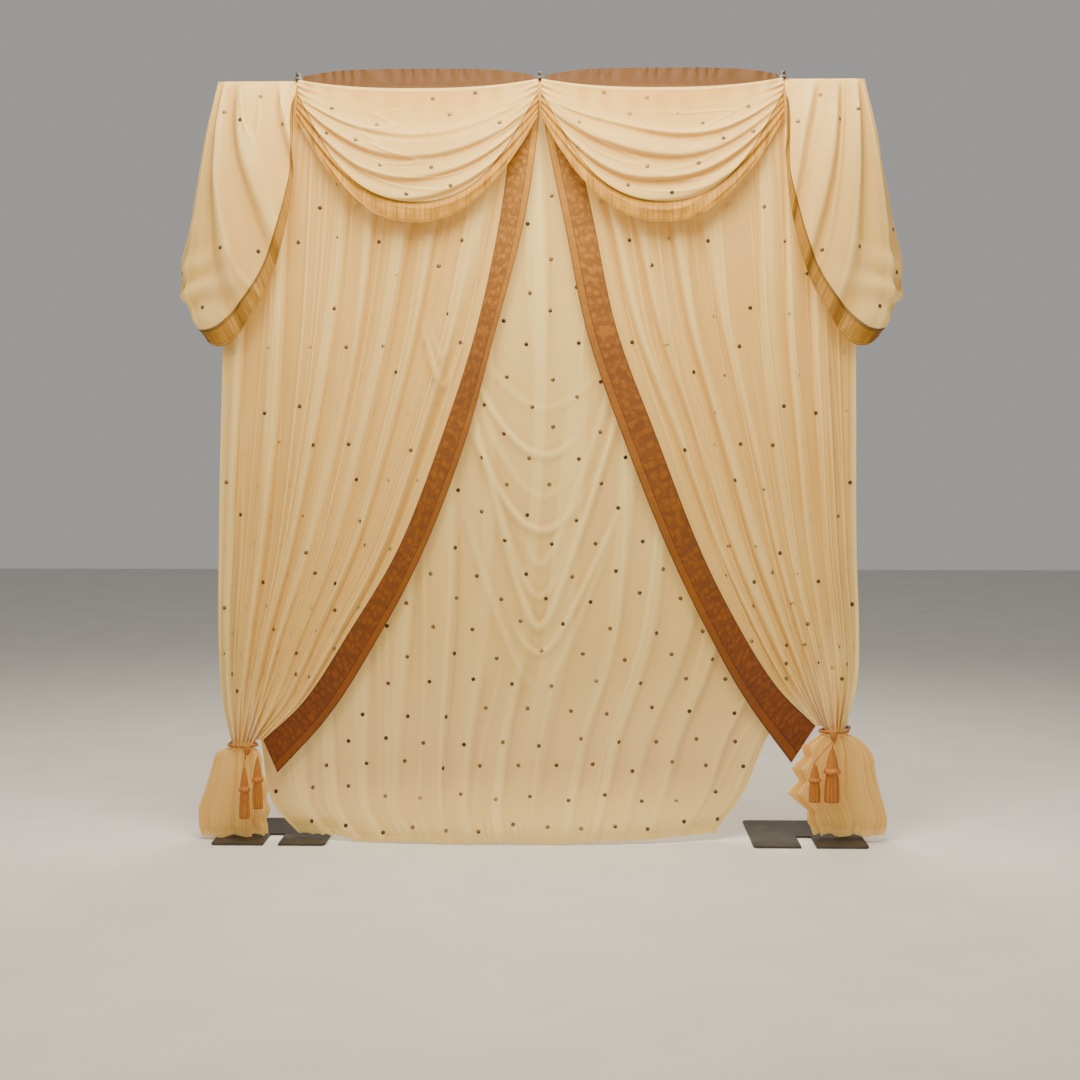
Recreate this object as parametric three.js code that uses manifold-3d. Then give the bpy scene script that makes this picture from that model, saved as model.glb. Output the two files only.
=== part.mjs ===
// Draped event arch: two slotted base plates, two telescoping uprights and a crossbar,
// dressed with a back drape, two swept curtains, swags, a bar strip, rope ties and tassels.
// Millimetres, +X to the right seen from the front, +Y to the back, +Z up.

import * as THREE from 'three';
import { mergeVertices } from 'three/addons/utils/BufferGeometryUtils.js';
import Module from 'manifold-3d';

const wasm = await Module();
wasm.setup();
const { Manifold, Mesh: SolidMesh } = wasm;

// Frame sizes

const GAP = 0.3;
const PLATE_SIDE = 450;
const PLATE_THICK = 9;
const PLATE_X = 1065;
const SLOT_X = 1055;
const SLOT_WIDE = 60;
const SLOT_DEEP = 175;
const POST_X = 1210;
const FLANGE_RADIUS = 44;
const FLANGE_THICK = 6;
const LOWER_RADIUS = 25;
const LOWER_BORE = 22;
const LOWER_TOP = 1700;
const UPPER_RADIUS = 18;
const UPPER_BORE = 16;
const UPPER_BOTTOM = 1450;
const UPPER_TOP = 2945;
const HEAD_TOP = 2992;
const BAR_Z = 2985;
const BAR_RADIUS = 19;
const BAR_BORE = 16.8;
const BAR_END = 1180;
const INNER_BAR_HALF = 500;
const INNER_BAR_SHOWS = 120;
const BAR_SIDES = 12;
const BLADE_THICK = 5;
const BLADE_DROP = 14;

// Cloth sizes

const CLOTH_THICK = 3;
const DRAPE_RADIUS = 20.9;
const CURTAIN_RADIUS = 24.3;
const STRIP_TOP = 3050;
const STRIP_BOTTOM = 2960;
const STRIP_DEPTH = 27.7;
const SWAG_DEPTH = 31.1;
const SWAG_TOP = 3007.5;
const SWAG_DROOP = 36;
const PIN_X = 955;
const SWAG_END_DROP = 135;
const SWAG_SAG = 420;
const ROPE_RADIUS = 7;
const NECK_HALF = 40;
const NECK_DEEP = 27;
const NECK_Y = -85;

// Colours from the picture

const steel = () => finish(0x77797c, 0.55, 0.9);
const aluminium = () => finish(0xb5b0a8, 0.42, 0.95);
const ivory = () => finish(0xecd8b4, 0.85, 0);
const brocade = () => finish(0xa8742c, 0.6, 0.25);
const cordGold = () => finish(0xc4842e, 0.55, 0.15);
const darkClip = () => finish(0x3a2c20, 0.5, 0.4);

function finish(color, roughness, metalness) {
  return new THREE.MeshStandardMaterial({ color, roughness, metalness });
}

// Geometry helpers

const arch = new THREE.Group();

function add(name, geometry, material) {
  const mesh = new THREE.Mesh(closed(geometry), material);
  mesh.name = name;
  arch.add(mesh);
  return mesh;
}

function closed(geometry) {
  geometry.deleteAttribute('normal');
  geometry.deleteAttribute('uv');
  const merged = mergeVertices(geometry, 1e-4);
  if (signedVolume(merged) < 0) {
    const index = merged.index;
    for (let i = 0; i < index.count; i += 3) {
      const swap = index.getX(i);
      index.setX(i, index.getX(i + 1));
      index.setX(i + 1, swap);
    }
  }
  merged.computeVertexNormals();
  return merged;
}

function signedVolume(geometry) {
  const position = geometry.attributes.position;
  const index = geometry.index;
  const corner = [0, 1, 2].map(() => new THREE.Vector3());
  let sum = 0;
  for (let i = 0; i < index.count; i += 3) {
    corner.forEach((point, k) => point.fromBufferAttribute(position, index.getX(i + k)));
    sum += corner[0].dot(corner[1].clone().cross(corner[2]));
  }
  return sum / 6;
}

function solidOf(geometry) {
  const clean = closed(geometry);
  return Manifold.ofMesh(new SolidMesh({
    numProp: 3,
    vertProperties: new Float32Array(clean.attributes.position.array),
    triVerts: new Uint32Array(clean.index.array),
  }));
}

function geometryOf(solid) {
  const mesh = solid.getMesh();
  const geometry = new THREE.BufferGeometry();
  geometry.setAttribute('position', new THREE.BufferAttribute(mesh.vertProperties, 3));
  geometry.setIndex(new THREE.BufferAttribute(mesh.triVerts, 1));
  return geometry;
}

function box(sizeX, sizeY, sizeZ, x, y, z) {
  return new THREE.BoxGeometry(sizeX, sizeY, sizeZ).translate(x, y, z);
}

// Lathe about a vertical axis, profile as [radius, height] pairs

function turned(profile, sides, x = 0, y = 0) {
  const points = profile.map(([radius, height]) => new THREE.Vector2(radius, height));
  const geometry = new THREE.LatheGeometry(points, sides);
  return geometry.rotateX(Math.PI / 2).translate(x, y, 0);
}

function tube(outer, bore, bottom, top, sides) {
  return turned([[bore, bottom], [outer, bottom], [outer, top], [bore, top], [bore, bottom]], sides);
}

// A tube along X whose corners match the cloth that is turned over it

function barTube(outer, bore, fromX, toX) {
  return tube(outer, bore, fromX, toX, BAR_SIDES).rotateY(Math.PI / 2);
}

const clamp = (value) => Math.min(1, Math.max(0, value));
const mix = (a, b, t) => a + (b - a) * t;

function smooth(from, to, value) {
  const t = clamp((value - from) / (to - from));
  return t * t * (3 - 2 * t);
}

// A value read off a smooth curve through [place, value] pairs

function through(pairs, place) {
  const last = pairs.length - 1;
  let i = 0;
  while (i < last - 1 && (pairs[i + 1][0] - place) * (pairs[last][0] - pairs[0][0]) < 0) {
    i += 1;
  }
  const slope = (k) => {
    const a = pairs[Math.max(0, k - 1)];
    const b = pairs[Math.min(last, k + 1)];
    return (b[1] - a[1]) / (b[0] - a[0]);
  };
  const span = pairs[i + 1][0] - pairs[i][0];
  const t = clamp((place - pairs[i][0]) / span);
  const t2 = t * t;
  const t3 = t2 * t;
  return (2 * t3 - 3 * t2 + 1) * pairs[i][1] + (t3 - 2 * t2 + t) * span * slope(i)
    + (3 * t2 - 2 * t3) * pairs[i + 1][1] + (t3 - t2) * span * slope(i + 1);
}

// A closed cloth solid: a divided slab bent onto the stretch of surface(u, v) that place
// picks, and thickened both ways

function cloth(across, down, surface, place = (u, v) => [u, v], thickness = () => CLOTH_THICK) {
  const geometry = new THREE.BoxGeometry(1, 1, 1, across, down, 1);
  const position = geometry.attributes.position;
  const step = 1e-3;
  for (let i = 0; i < position.count; i += 1) {
    const [u, v] = place(clamp(position.getX(i) + 0.5), clamp(0.5 - position.getY(i)));
    const alongU = surface(u + step, v).sub(surface(u - step, v));
    const alongV = surface(u, v + step).sub(surface(u, v - step));
    const normal = alongV.cross(alongU).normalize();
    const point = surface(u, v).addScaledVector(normal, position.getZ(i) * thickness(u, v));
    position.setXYZ(i, point.x, point.y, point.z);
  }
  return geometry;
}

// How far v has to move on a surface for the seam between two joined cloths

function seam(surface, u, v) {
  const step = 1e-3;
  const along = surface(u + step, v).sub(surface(u - step, v)).normalize();
  const down = surface(u, v + step).sub(surface(u, v)).divideScalar(step);
  return 0.8 / down.cross(along).length();
}

// The point on a layer of cloth round the bar; angle 0 is at the back, 180 at the front

function roundBar(x, radius, degrees) {
  const angle = THREE.MathUtils.degToRad(degrees);
  return new THREE.Vector3(x, radius * Math.cos(angle), BAR_Z + radius * Math.sin(angle));
}

// Base plates, spigots, uprights, collars and heads

function plateShape() {
  const half = PLATE_SIDE / 2;
  const slotLeft = SLOT_X - PLATE_X - SLOT_WIDE / 2;
  const slotRight = slotLeft + SLOT_WIDE;
  const slotEnd = SLOT_DEEP - half;
  const corner = 12;
  const shape = new THREE.Shape();
  shape.moveTo(-half + corner, -half);
  shape.lineTo(slotLeft, -half);
  shape.lineTo(slotLeft, slotEnd);
  shape.lineTo(slotRight, slotEnd);
  shape.lineTo(slotRight, -half);
  shape.lineTo(half - corner, -half);
  shape.lineTo(half, -half + corner);
  shape.lineTo(half, half - corner);
  shape.lineTo(half - corner, half);
  shape.lineTo(-half + corner, half);
  shape.lineTo(-half, half - corner);
  shape.lineTo(-half, -half + corner);
  shape.closePath();
  return shape;
}

function basePlate(side) {
  const geometry = new THREE.ExtrudeGeometry(plateShape(), { depth: PLATE_THICK, bevelEnabled: false });
  geometry.scale(side, 1, 1);
  return geometry.translate(side * PLATE_X, 0, 0);
}

function spigot(side) {
  const floor = PLATE_THICK + GAP;
  const shoulder = floor + FLANGE_THICK;
  const pin = LOWER_BORE - GAP;
  const profile = [[0, floor], [FLANGE_RADIUS, floor], [FLANGE_RADIUS, shoulder], [pin, shoulder],
    [pin, 150], [pin - 4, 156], [0, 156]];
  return turned(profile, 16, side * POST_X);
}

function collar(side) {
  const bore = UPPER_RADIUS + GAP;
  const neck = LOWER_BORE - GAP;
  const seat = LOWER_TOP + GAP;
  const profile = [[bore, seat - 28], [neck, seat - 28], [neck, seat], [28, seat], [28, seat + 34],
    [bore, seat + 34], [bore, seat - 28]];
  return turned(profile, 16, side * POST_X);
}

function head(side) {
  const profile = [[0, UPPER_TOP - 30], [UPPER_BORE - GAP, UPPER_TOP - 30],
    [UPPER_BORE - GAP, UPPER_TOP + GAP], [17.5, UPPER_TOP + GAP], [17.5, HEAD_TOP], [0, HEAD_TOP]];
  const slot = box(32, BLADE_THICK + 1.2, 40, side * (POST_X - 8), 0, BAR_Z - BLADE_DROP - GAP + 20);
  return geometryOf(solidOf(turned(profile, 16, side * POST_X)).subtract(solidOf(slot)));
}

function hook(side) {
  const plug = barTube(BAR_BORE - GAP, 6, BAR_END - 40, BAR_END);
  const blade = box(POST_X + 6 - 1160, BLADE_THICK, BLADE_DROP + 4, (POST_X + 6 + 1160) / 2, 0,
    (4 - BLADE_DROP) / 2);
  const joined = geometryOf(solidOf(plug).add(solidOf(blade)));
  return joined.scale(side, 1, 1).translate(0, 0, BAR_Z);
}

function buildFrame() {
  for (const [name, side] of [['left', -1], ['right', 1]]) {
    const lower = tube(LOWER_RADIUS, LOWER_BORE, PLATE_THICK + FLANGE_THICK + 2 * GAP, LOWER_TOP, 16);
    const upper = tube(UPPER_RADIUS, UPPER_BORE, UPPER_BOTTOM, UPPER_TOP, 16);
    const outer = barTube(BAR_RADIUS, BAR_BORE, INNER_BAR_SHOWS, BAR_END);
    add(`base_plate_${name}`, basePlate(side), steel());
    add(`base_spigot_${name}`, spigot(side), steel());
    add(`upright_lower_${name}`, lower.translate(side * POST_X, 0, 0), aluminium());
    add(`upright_collar_${name}`, collar(side), steel());
    add(`upright_upper_${name}`, upper.translate(side * POST_X, 0, 0), aluminium());
    add(`upright_head_${name}`, head(side), steel());
    add(`crossbar_outer_${name}`, outer.scale(side, 1, 1).translate(0, 0, BAR_Z), aluminium());
    add(`crossbar_hook_${name}`, hook(side), steel());
  }
  const inner = barTube(BAR_BORE - GAP, BAR_BORE - 2.5, -INNER_BAR_HALF, INNER_BAR_HALF);
  add('crossbar_inner', inner.translate(0, 0, BAR_Z), aluminium());
}

// Back drape: edges and depth by height, as [height, value] pairs

const DRAPE_LEFT = [[BAR_Z, -1236], [2000, -1226], [900, -1205], [375, -1122], [150, -1080], [20, -965]];
const DRAPE_RIGHT = [[BAR_Z, 1236], [1500, 1226], [900, 1150], [650, 1050], [394, 905], [192, 820], [20, 705]];
const DRAPE_FLAP = 80;
const DRAPE_PLEATS = 7;
const DRAPE_TURN = 6;
const DRAPE_LEVELS = [2985, 2790, 2500, 2150, 1800, 1450, 1100, 800, 550, 350, 200, 85, 20];
const DRAPE_ROWS = DRAPE_LEVELS.length - 1;

function backDrapeSurface(u, v) {
  const rows = 1 + DRAPE_TURN + DRAPE_ROWS;
  const row = v * rows;
  const x0 = mix(DRAPE_LEFT[0][1], DRAPE_RIGHT[0][1], u);
  if (row <= 1) {
    return new THREE.Vector3(x0, DRAPE_RADIUS, BAR_Z - DRAPE_FLAP * (1 - row));
  }
  if (row <= 1 + DRAPE_TURN) {
    return roundBar(x0, DRAPE_RADIUS, 180 * (row - 1) / DRAPE_TURN);
  }
  const hang = row - 1 - DRAPE_TURN;
  const level = Math.min(DRAPE_ROWS - 1, Math.floor(hang));
  const z = mix(DRAPE_LEVELS[level], DRAPE_LEVELS[level + 1], hang - level);
  const x = mix(through(DRAPE_LEFT, z), through(DRAPE_RIGHT, z), u);
  const edge = Math.abs(2 * u - 1);
  const fall = smooth(BAR_Z, BAR_Z - 250, z);
  const pleat = 9 * fall * Math.cos(2 * Math.PI * DRAPE_PLEATS * u) * (1 - 0.7 * smooth(300, 60, z));
  const lift = 22 * smooth(0.6, 1, u) * smooth(200, 20, z);
  const forward = (50 + 100 * (1 - edge ** 3)) * smooth(320, 20, z) ** 1.6;
  return new THREE.Vector3(x, -DRAPE_RADIUS - 22 * fall - forward + pleat, z + lift);
}

// Front curtains: for each side the outer edge, the border's outer edge and the free inner
// edge, each as [x, z] pairs from the bar down to the tie

const SIDES = {
  left: {
    side: -1,
    tieX: -1187,
    tieZ: 375,
    edge: [[1243, 2985], [1243, 2790], [1246, 2445], [1250, 2025], [1262, 1600], [1276, 1164],
      [1282, 820], [1270, 560], [1230, 375]],
    border: [[104, 2985], [112, 2790], [158, 2445], [250, 2025], [388, 1600], [560, 1164],
      [764, 820], [934, 560], [1106, 394]],
    inner: [[4, 2985], [8, 2785], [64, 2430], [177, 2005], [300, 1565], [478, 1115],
      [690, 725], [852, 480], [1050, 262]],
    tail: [[375, 1187, 40, 85, 27], [364, 1193, 50, 86, 29], [345, 1208, 86, 88, 32],
      [290, 1212, 100, 92, 38], [200, 1218, 124, 97, 42], [125, 1227, 140, 100, 44],
      [60, 1228, 138, 102, 45], [20, 1224, 130, 102, 44]],
    flutes: 8,
    knot: [1160, 350, 141.9],
    tassels: [[1110, 338, 186, 200, 0.68], [1162, 300, 190, 200, 0.68]],
  },
  right: {
    side: 1,
    tieX: 1168,
    tieZ: 440,
    edge: [[1243, 2985], [1243, 2790], [1240, 2445], [1238, 2025], [1244, 1600], [1250, 1164],
      [1262, 850], [1256, 620], [1208, 440]],
    border: [[112, 2985], [138, 2790], [213, 2445], [304, 2025], [463, 1600], [634, 1164],
      [792, 850], [938, 620], [1096, 459]],
    inner: [[4, 2985], [26, 2785], [99, 2430], [190, 2000], [345, 1560], [525, 1120],
      [715, 740], [840, 530], [1001, 310]],
    tail: [[440, 1168, 40, 85, 27], [430, 1170, 46, 86, 29], [412, 1176, 90, 88, 32],
      [355, 1180, 142, 90, 36], [280, 1178, 160, 94, 40], [200, 1180, 178, 96, 43],
      [100, 1218, 162, 98, 45], [34, 1226, 140, 98, 44]],
    flutes: 9,
    knot: [1158, 415, 145.6],
    tassels: [[1148, 386, 181, 212, 1], [1080, 325, 184, 150, 0.76]],
  },
};

const CURTAIN_TURN = 2;
const CURTAIN_ROWS = 14;
const CURTAIN_PLEATS = 6;
const CURTAIN_ACROSS = 4 * CURTAIN_PLEATS;

// A point on a smooth line through evenly numbered [x, z] points

function alongLine(points, t) {
  const numbered = (k) => points.map((point, i) => [i, point[k]]);
  const place = t * (points.length - 1);
  return [through(numbered(0), place), through(numbered(1), place)];
}

// Depth of the front curtains by height, measured forward from the bar's axis

function curtainDepth(z) {
  return CURTAIN_RADIUS + 60 * smooth(BAR_Z, BAR_Z - 250, z);
}

function curtainSurface(arm) {
  return (u, v) => {
    const row = v * (CURTAIN_TURN + CURTAIN_ROWS);
    const hang = clamp((row - CURTAIN_TURN) / CURTAIN_ROWS);
    const [edgeX, edgeZ] = alongLine(arm.edge, hang);
    const [borderX, borderZ] = alongLine(arm.border, hang);
    const [innerX, innerZ] = alongLine(arm.inner, hang);
    const s = Math.min(1, u);
    const beyond = Math.max(0, u - 1);
    const lift = smooth(0.66, 0.78, s);
    const x = mix(mix(edgeX, borderX, s), innerX, beyond);
    const z = mix(mix(edgeZ, borderZ, lift), innerZ, beyond);
    if (row < CURTAIN_TURN) {
      return roundBar(arm.side * x, CURTAIN_RADIUS, 120 + 60 * row / CURTAIN_TURN);
    }
    const gathered = smooth(0.72, 0.97, hang);
    const fall = smooth(BAR_Z, BAR_Z - 250, z);
    const flat = s < 0.9 ? 1 : 1 - (s - 0.9) / 0.1;
    const pleat = 12 * fall * (1 - gathered) * flat * Math.cos(2 * Math.PI * CURTAIN_PLEATS * s);
    return new THREE.Vector3(arm.side * x, -curtainDepth(z) + pleat, z);
  };
}

function curtainThickness(u, v) {
  const row = v * (CURTAIN_TURN + CURTAIN_ROWS);
  const hang = clamp((row - CURTAIN_TURN) / CURTAIN_ROWS);
  const across = clamp(u / 0.7);
  const round = Math.sqrt(Math.max(0, 1 - (2 * across - 1) ** 2));
  return CLOTH_THICK + 2 * (NECK_DEEP - 2) * round * smooth(0.74, 1, hang);
}

// The border is the strip of the same surface beyond the curtain's inner edge

function borderPlace(u, v) {
  const first = (CURTAIN_TURN + 1) / (CURTAIN_TURN + CURTAIN_ROWS);
  return [mix(1.008, 2, u), mix(first, 1, v)];
}

// Curtain tail below the tie, a fluted closed bell

function tail(arm) {
  const rings = arm.tail;
  const profile = [[0, 0], ...rings.map((ring, i) => [1, i]), [0, rings.length - 1]];
  const points = profile.map(([radius, height]) => new THREE.Vector2(radius, height));
  const geometry = new THREE.LatheGeometry(points, 4 * arm.flutes);
  const position = geometry.attributes.position;
  for (let i = 0; i < position.count; i += 1) {
    const ring = rings[Math.round(position.getY(i))];
    const down = Math.round(position.getY(i)) / (rings.length - 1);
    const angle = Math.atan2(position.getZ(i), position.getX(i));
    const radius = Math.hypot(position.getX(i), position.getZ(i));
    const flute = radius * (1 - 0.08 * smooth(0.2, 1, down) * (1 - Math.cos(arm.flutes * angle)));
    const x = arm.side * (ring[1] + ring[2] * flute * Math.cos(angle));
    const y = -ring[3] + ring[4] * flute * Math.sin(angle);
    position.setXYZ(i, x, y, ring[0] - (ring === rings[0] ? GAP : 0));
  }
  return geometry;
}

// Rope tie: a ring bent round the gathered curtain and the upright

function ropePath(arm, turn) {
  const clear = ROPE_RADIUS + 0.35;
  const rounds = [
    { x: arm.side * POST_X, y: 0, a: LOWER_RADIUS + clear, b: LOWER_RADIUS + clear },
    { x: arm.tieX, y: NECK_Y, a: NECK_HALF + 8 + clear, b: NECK_DEEP + 5 + clear },
  ];
  const direction = [Math.cos(turn), Math.sin(turn)];
  const reach = rounds.map((oval) => {
    const support = Math.hypot(oval.a * direction[0], oval.b * direction[1]);
    return oval.x * direction[0] + oval.y * direction[1] + support;
  });
  const oval = reach[0] > reach[1] ? rounds[0] : rounds[1];
  const support = Math.hypot(oval.a * direction[0], oval.b * direction[1]);
  return new THREE.Vector3(oval.x + oval.a * oval.a * direction[0] / support,
    oval.y + oval.b * oval.b * direction[1] / support, arm.tieZ);
}

function ropeTie(arm) {
  const geometry = new THREE.TorusGeometry(100, ROPE_RADIUS, 7, 28);
  const position = geometry.attributes.position;
  for (let i = 0; i < position.count; i += 1) {
    const turn = Math.atan2(position.getY(i), position.getX(i));
    const outward = Math.hypot(position.getX(i), position.getY(i)) - 100;
    const point = ropePath(arm, turn);
    position.setXYZ(i, point.x + outward * Math.cos(turn), point.y + outward * Math.sin(turn),
      point.z + position.getZ(i));
  }
  return geometry;
}

// Knot bell on the rope, two hanging cords and their tassels

function knotBell([x, bottom, depth], side) {
  const profile = [[0, 0], [11, 0], [13, 4], [15, 12], [15, 25], [11, 34], [0, 34]];
  return turned(profile.map(([radius, z]) => [radius, bottom + z]), 10, side * x, -depth);
}

// A tassel: cone head, wide collar and long skirt; heights are shares of the whole

function tassel([x, top, depth, height, wide], side) {
  const profile = [[0, -1], [31, -1], [33, -0.97], [30, -0.7], [25, -0.48], [29, -0.46],
    [35, -0.44], [35, -0.39], [26, -0.37], [24, -0.35], [19, -0.2], [9, -0.03], [6, 0], [0, 0]];
  return turned(profile.map(([radius, z]) => [wide * radius, top + height * z]), 14, side * x, -depth);
}

function hangingCord(arm, [x, top, depth]) {
  const [knotX, knotBottom, knotDepth] = arm.knot;
  const shift = x > (arm.tassels[0][0] + arm.tassels[1][0]) / 2 ? 5 : -5;
  const radius = 3;
  const path = new THREE.CatmullRomCurve3([
    new THREE.Vector3(arm.side * (knotX + shift), -knotDepth, knotBottom - GAP),
    new THREE.Vector3(arm.side * (knotX + shift), -knotDepth, knotBottom - 8),
    new THREE.Vector3(arm.side * x, -depth, top + 10),
    new THREE.Vector3(arm.side * x, -depth, top + GAP),
  ]);
  const section = new THREE.Shape();
  section.absellipse(0, 0, radius, radius, 0, 2 * Math.PI, false, 0);
  return new THREE.ExtrudeGeometry(section, { steps: 8, curveSegments: 4, extrudePath: path });
}

function buildDrapes() {
  add('back_drape', cloth(4 * DRAPE_PLEATS, 1 + DRAPE_TURN + DRAPE_ROWS, backDrapeSurface), ivory());
  for (const [name, arm] of Object.entries(SIDES)) {
    const across = CURTAIN_ACROSS;
    const down = CURTAIN_TURN + CURTAIN_ROWS;
    const curtain = curtainSurface(arm);
    const whole = (u, v) => [u, v];
    add(`front_curtain_${name}`, cloth(across, down, curtain, whole, curtainThickness), ivory());
    add(`curtain_border_${name}`, cloth(2, CURTAIN_ROWS - 1, curtain, borderPlace), brocade());
    add(`curtain_tail_${name}`, tail(arm), ivory());
    add(`tie_rope_${name}`, ropeTie(arm), cordGold());
    add(`tie_knot_${name}`, knotBell(arm.knot, arm.side), cordGold());
    arm.tassels.forEach((place, i) => {
      add(`tassel_cord_${name}_${i + 1}`, hangingCord(arm, place), cordGold());
      add(`tassel_${name}_${i + 1}`, tassel(place, arm.side), cordGold());
    });
  }
}

// Centre swags: nested catenaries from pin to pin, v runs from the bar to the hem

const SWAG_ROWS = 14;
const SWAG_ACROSS = 16;
const SWAG_FOLDS = 3.5;

function swagTop(u) {
  return SWAG_TOP - SWAG_DROOP * (1 - Math.abs(2 * u - 1) ** 2.5);
}

function swagSurface(side) {
  return (u, down) => {
    const x = side * mix(6, PIN_X - 3, u);
    const across = Math.abs(2 * u - 1);
    const belly = 1 - across ** 4;
    const z = mix(swagTop(u), BAR_Z, down) - SWAG_END_DROP * down
      - SWAG_SAG * Math.max(0, down) ** 1.15 * (1 - across ** 2.2);
    const window = smooth(0.15, 0.35, down) * smooth(0.84, 0.7, down);
    const fold = 8 * belly * window * Math.sin(2 * Math.PI * SWAG_FOLDS * down);
    const clear = SWAG_DEPTH + 4 * (1 - across ** 2);
    const depth = clear + 60 * down + 75 * belly * Math.min(1, 2.2 * down) + fold;
    return new THREE.Vector3(x, -depth, z);
  };
}

// Where a border starts: it widens towards the pins

function swagBorderTop(u) {
  return 0.86 - 0.5 * Math.abs(2 * u - 1) ** 6;
}

function sideBorderTop(u) {
  return 0.93 - 0.07 * smooth(0.4, 0.12, u) - 0.36 * smooth(0.16, 0, u);
}

// Side swags: a lofted loop round each end of the bar, rows of [x, y, z] from the bar to the
// hem, each row from the front pin round the outside to the back

const SIDE_LOOP = [
  [[958, -23.6, 3000], [1060, -23.6, 3000], [1190, -23.6, 3000], [1262, -26, 3002], [1274, 2, 3003],
    [1258, 30, 3000], [1020, 32, 2993]],
  [[958, -42, 2976], [1060, -46, 2973], [1190, -46, 2970], [1264, -32, 2968], [1278, 0, 2966],
    [1260, 38, 2962], [1020, 38, 2958]],
  [[958, -64, 2948], [1040, -95, 2880], [1180, -106, 2815], [1290, -72, 2775], [1324, 0, 2765],
    [1272, 60, 2820], [1020, 44, 2932]],
  [[958, -90, 2918], [1010, -124, 2780], [1160, -146, 2630], [1320, -100, 2515], [1380, 0, 2480],
    [1312, 70, 2620], [1015, 50, 2905]],
  [[958, -108, 2884], [984, -136, 2640], [1115, -158, 2380], [1338, -128, 2185], [1430, -4, 2190],
    [1342, 80, 2420], [1014, 55, 2880]],
  [[958, -122, 2848], [966, -136, 2540], [1052, -156, 2205], [1222, -158, 1962], [1352, -52, 2068],
    [1312, 80, 2330], [1012, 60, 2858]],
];
const SIDE_ACROSS = 18;
const SIDE_ROWS = 11;

const SIDE_CURVES = SIDE_LOOP.map((row) => [0, 1, 2].map((k) => row.map((point, i) => [i, point[k]])));

function sideSwagSurface(u, v) {
  const place = u * (SIDE_LOOP[0].length - 1);
  const point = [0, 1, 2].map((k) => {
    const column = SIDE_CURVES.map((row, i) => [i, through(row[k], place)]);
    return through(column, v * (SIDE_CURVES.length - 1));
  });
  return new THREE.Vector3(-point[0], point[1], point[2]);
}

// Strip that stands in front of the bar between the pins, over the curtains' tops

function stripSurface(side) {
  return (u, v) => {
    const x = side * mix(22, PIN_X - 22, u);
    const pinch = 1 - 0.45 * Math.abs(2 * u - 1) ** 4;
    const top = BAR_Z + (STRIP_TOP - BAR_Z) * pinch;
    const z = v < 0.6 ? mix(top, BAR_Z, v / 0.6) : mix(BAR_Z, STRIP_BOTTOM, (v - 0.6) / 0.4);
    return new THREE.Vector3(x, -STRIP_DEPTH - 0.27 * Math.max(0, BAR_Z - z), z);
  };
}

function buildSwags() {
  for (const [name, side] of [['left', -1], ['right', 1]]) {
    const centre = swagSurface(side);
    const above = (u, v) => [u, swagBorderTop(u) * v];
    const hem = (u, v) => {
      const top = swagBorderTop(u);
      return [u, mix(top + seam(centre, u, top), 1, v)];
    };
    add(`swag_${name}`, cloth(SWAG_ACROSS, SWAG_ROWS, centre, above), ivory());
    add(`swag_border_${name}`, cloth(SWAG_ACROSS, 2, centre, hem), brocade());

    const loop = sideSwagSurface;
    const loopAbove = (u, v) => [u, sideBorderTop(u) * v];
    const loopHem = (u, v) => {
      const top = sideBorderTop(u);
      return [u, mix(top + seam(loop, u, top), 1, v)];
    };
    const sideSwag = cloth(SIDE_ACROSS, SIDE_ROWS, loop, loopAbove).scale(-side, 1, 1);
    const sideBorder = cloth(SIDE_ACROSS, 1, loop, loopHem).scale(-side, 1, 1);
    add(`side_swag_${name}`, sideSwag, ivory());
    add(`side_swag_border_${name}`, sideBorder, brocade());
    add(`header_strip_${name}`, cloth(16, 5, stripSurface(side)), brocade());
  }
  for (const [name, x] of [['left', -PIN_X], ['centre', 0], ['right', PIN_X]]) {
    add(`swag_pin_${name}`, box(22, 50, 33, x, -13, 3008 + 33 / 2), darkClip());
  }
}

buildFrame();
buildDrapes();
buildSwags();

export default arch;
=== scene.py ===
"""Draped event arch: sheer cloth, gold borders, ropes and tassels on a crossbar stand."""

import math
from functools import lru_cache

import bmesh
import bpy
from mathutils import Matrix, Vector, noise


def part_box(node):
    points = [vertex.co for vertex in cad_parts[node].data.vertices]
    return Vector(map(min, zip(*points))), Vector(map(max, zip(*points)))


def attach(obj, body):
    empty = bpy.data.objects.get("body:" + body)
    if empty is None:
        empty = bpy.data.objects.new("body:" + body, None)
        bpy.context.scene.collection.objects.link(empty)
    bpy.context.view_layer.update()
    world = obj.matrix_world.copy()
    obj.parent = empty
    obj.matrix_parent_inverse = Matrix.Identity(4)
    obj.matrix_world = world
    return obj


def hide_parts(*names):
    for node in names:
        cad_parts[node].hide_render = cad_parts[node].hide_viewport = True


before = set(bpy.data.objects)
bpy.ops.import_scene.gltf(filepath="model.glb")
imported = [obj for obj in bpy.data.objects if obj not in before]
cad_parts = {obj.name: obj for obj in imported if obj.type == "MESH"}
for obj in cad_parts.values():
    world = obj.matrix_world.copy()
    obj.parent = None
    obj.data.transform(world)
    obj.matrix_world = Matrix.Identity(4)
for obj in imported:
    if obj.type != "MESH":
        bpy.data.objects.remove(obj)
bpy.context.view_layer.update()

bl_info = {
    "name": "Draped event arch",
    "version": (1, 0, 0),
    "blender": (4, 5, 0),
    "location": "3D View > Sidebar > Arch",
    "description": "Builds the cloth, borders, ropes and finishes of a draped event arch",
    "category": "Add Mesh",
}

# All lengths are in metres. These places are taken from the frame

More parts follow.
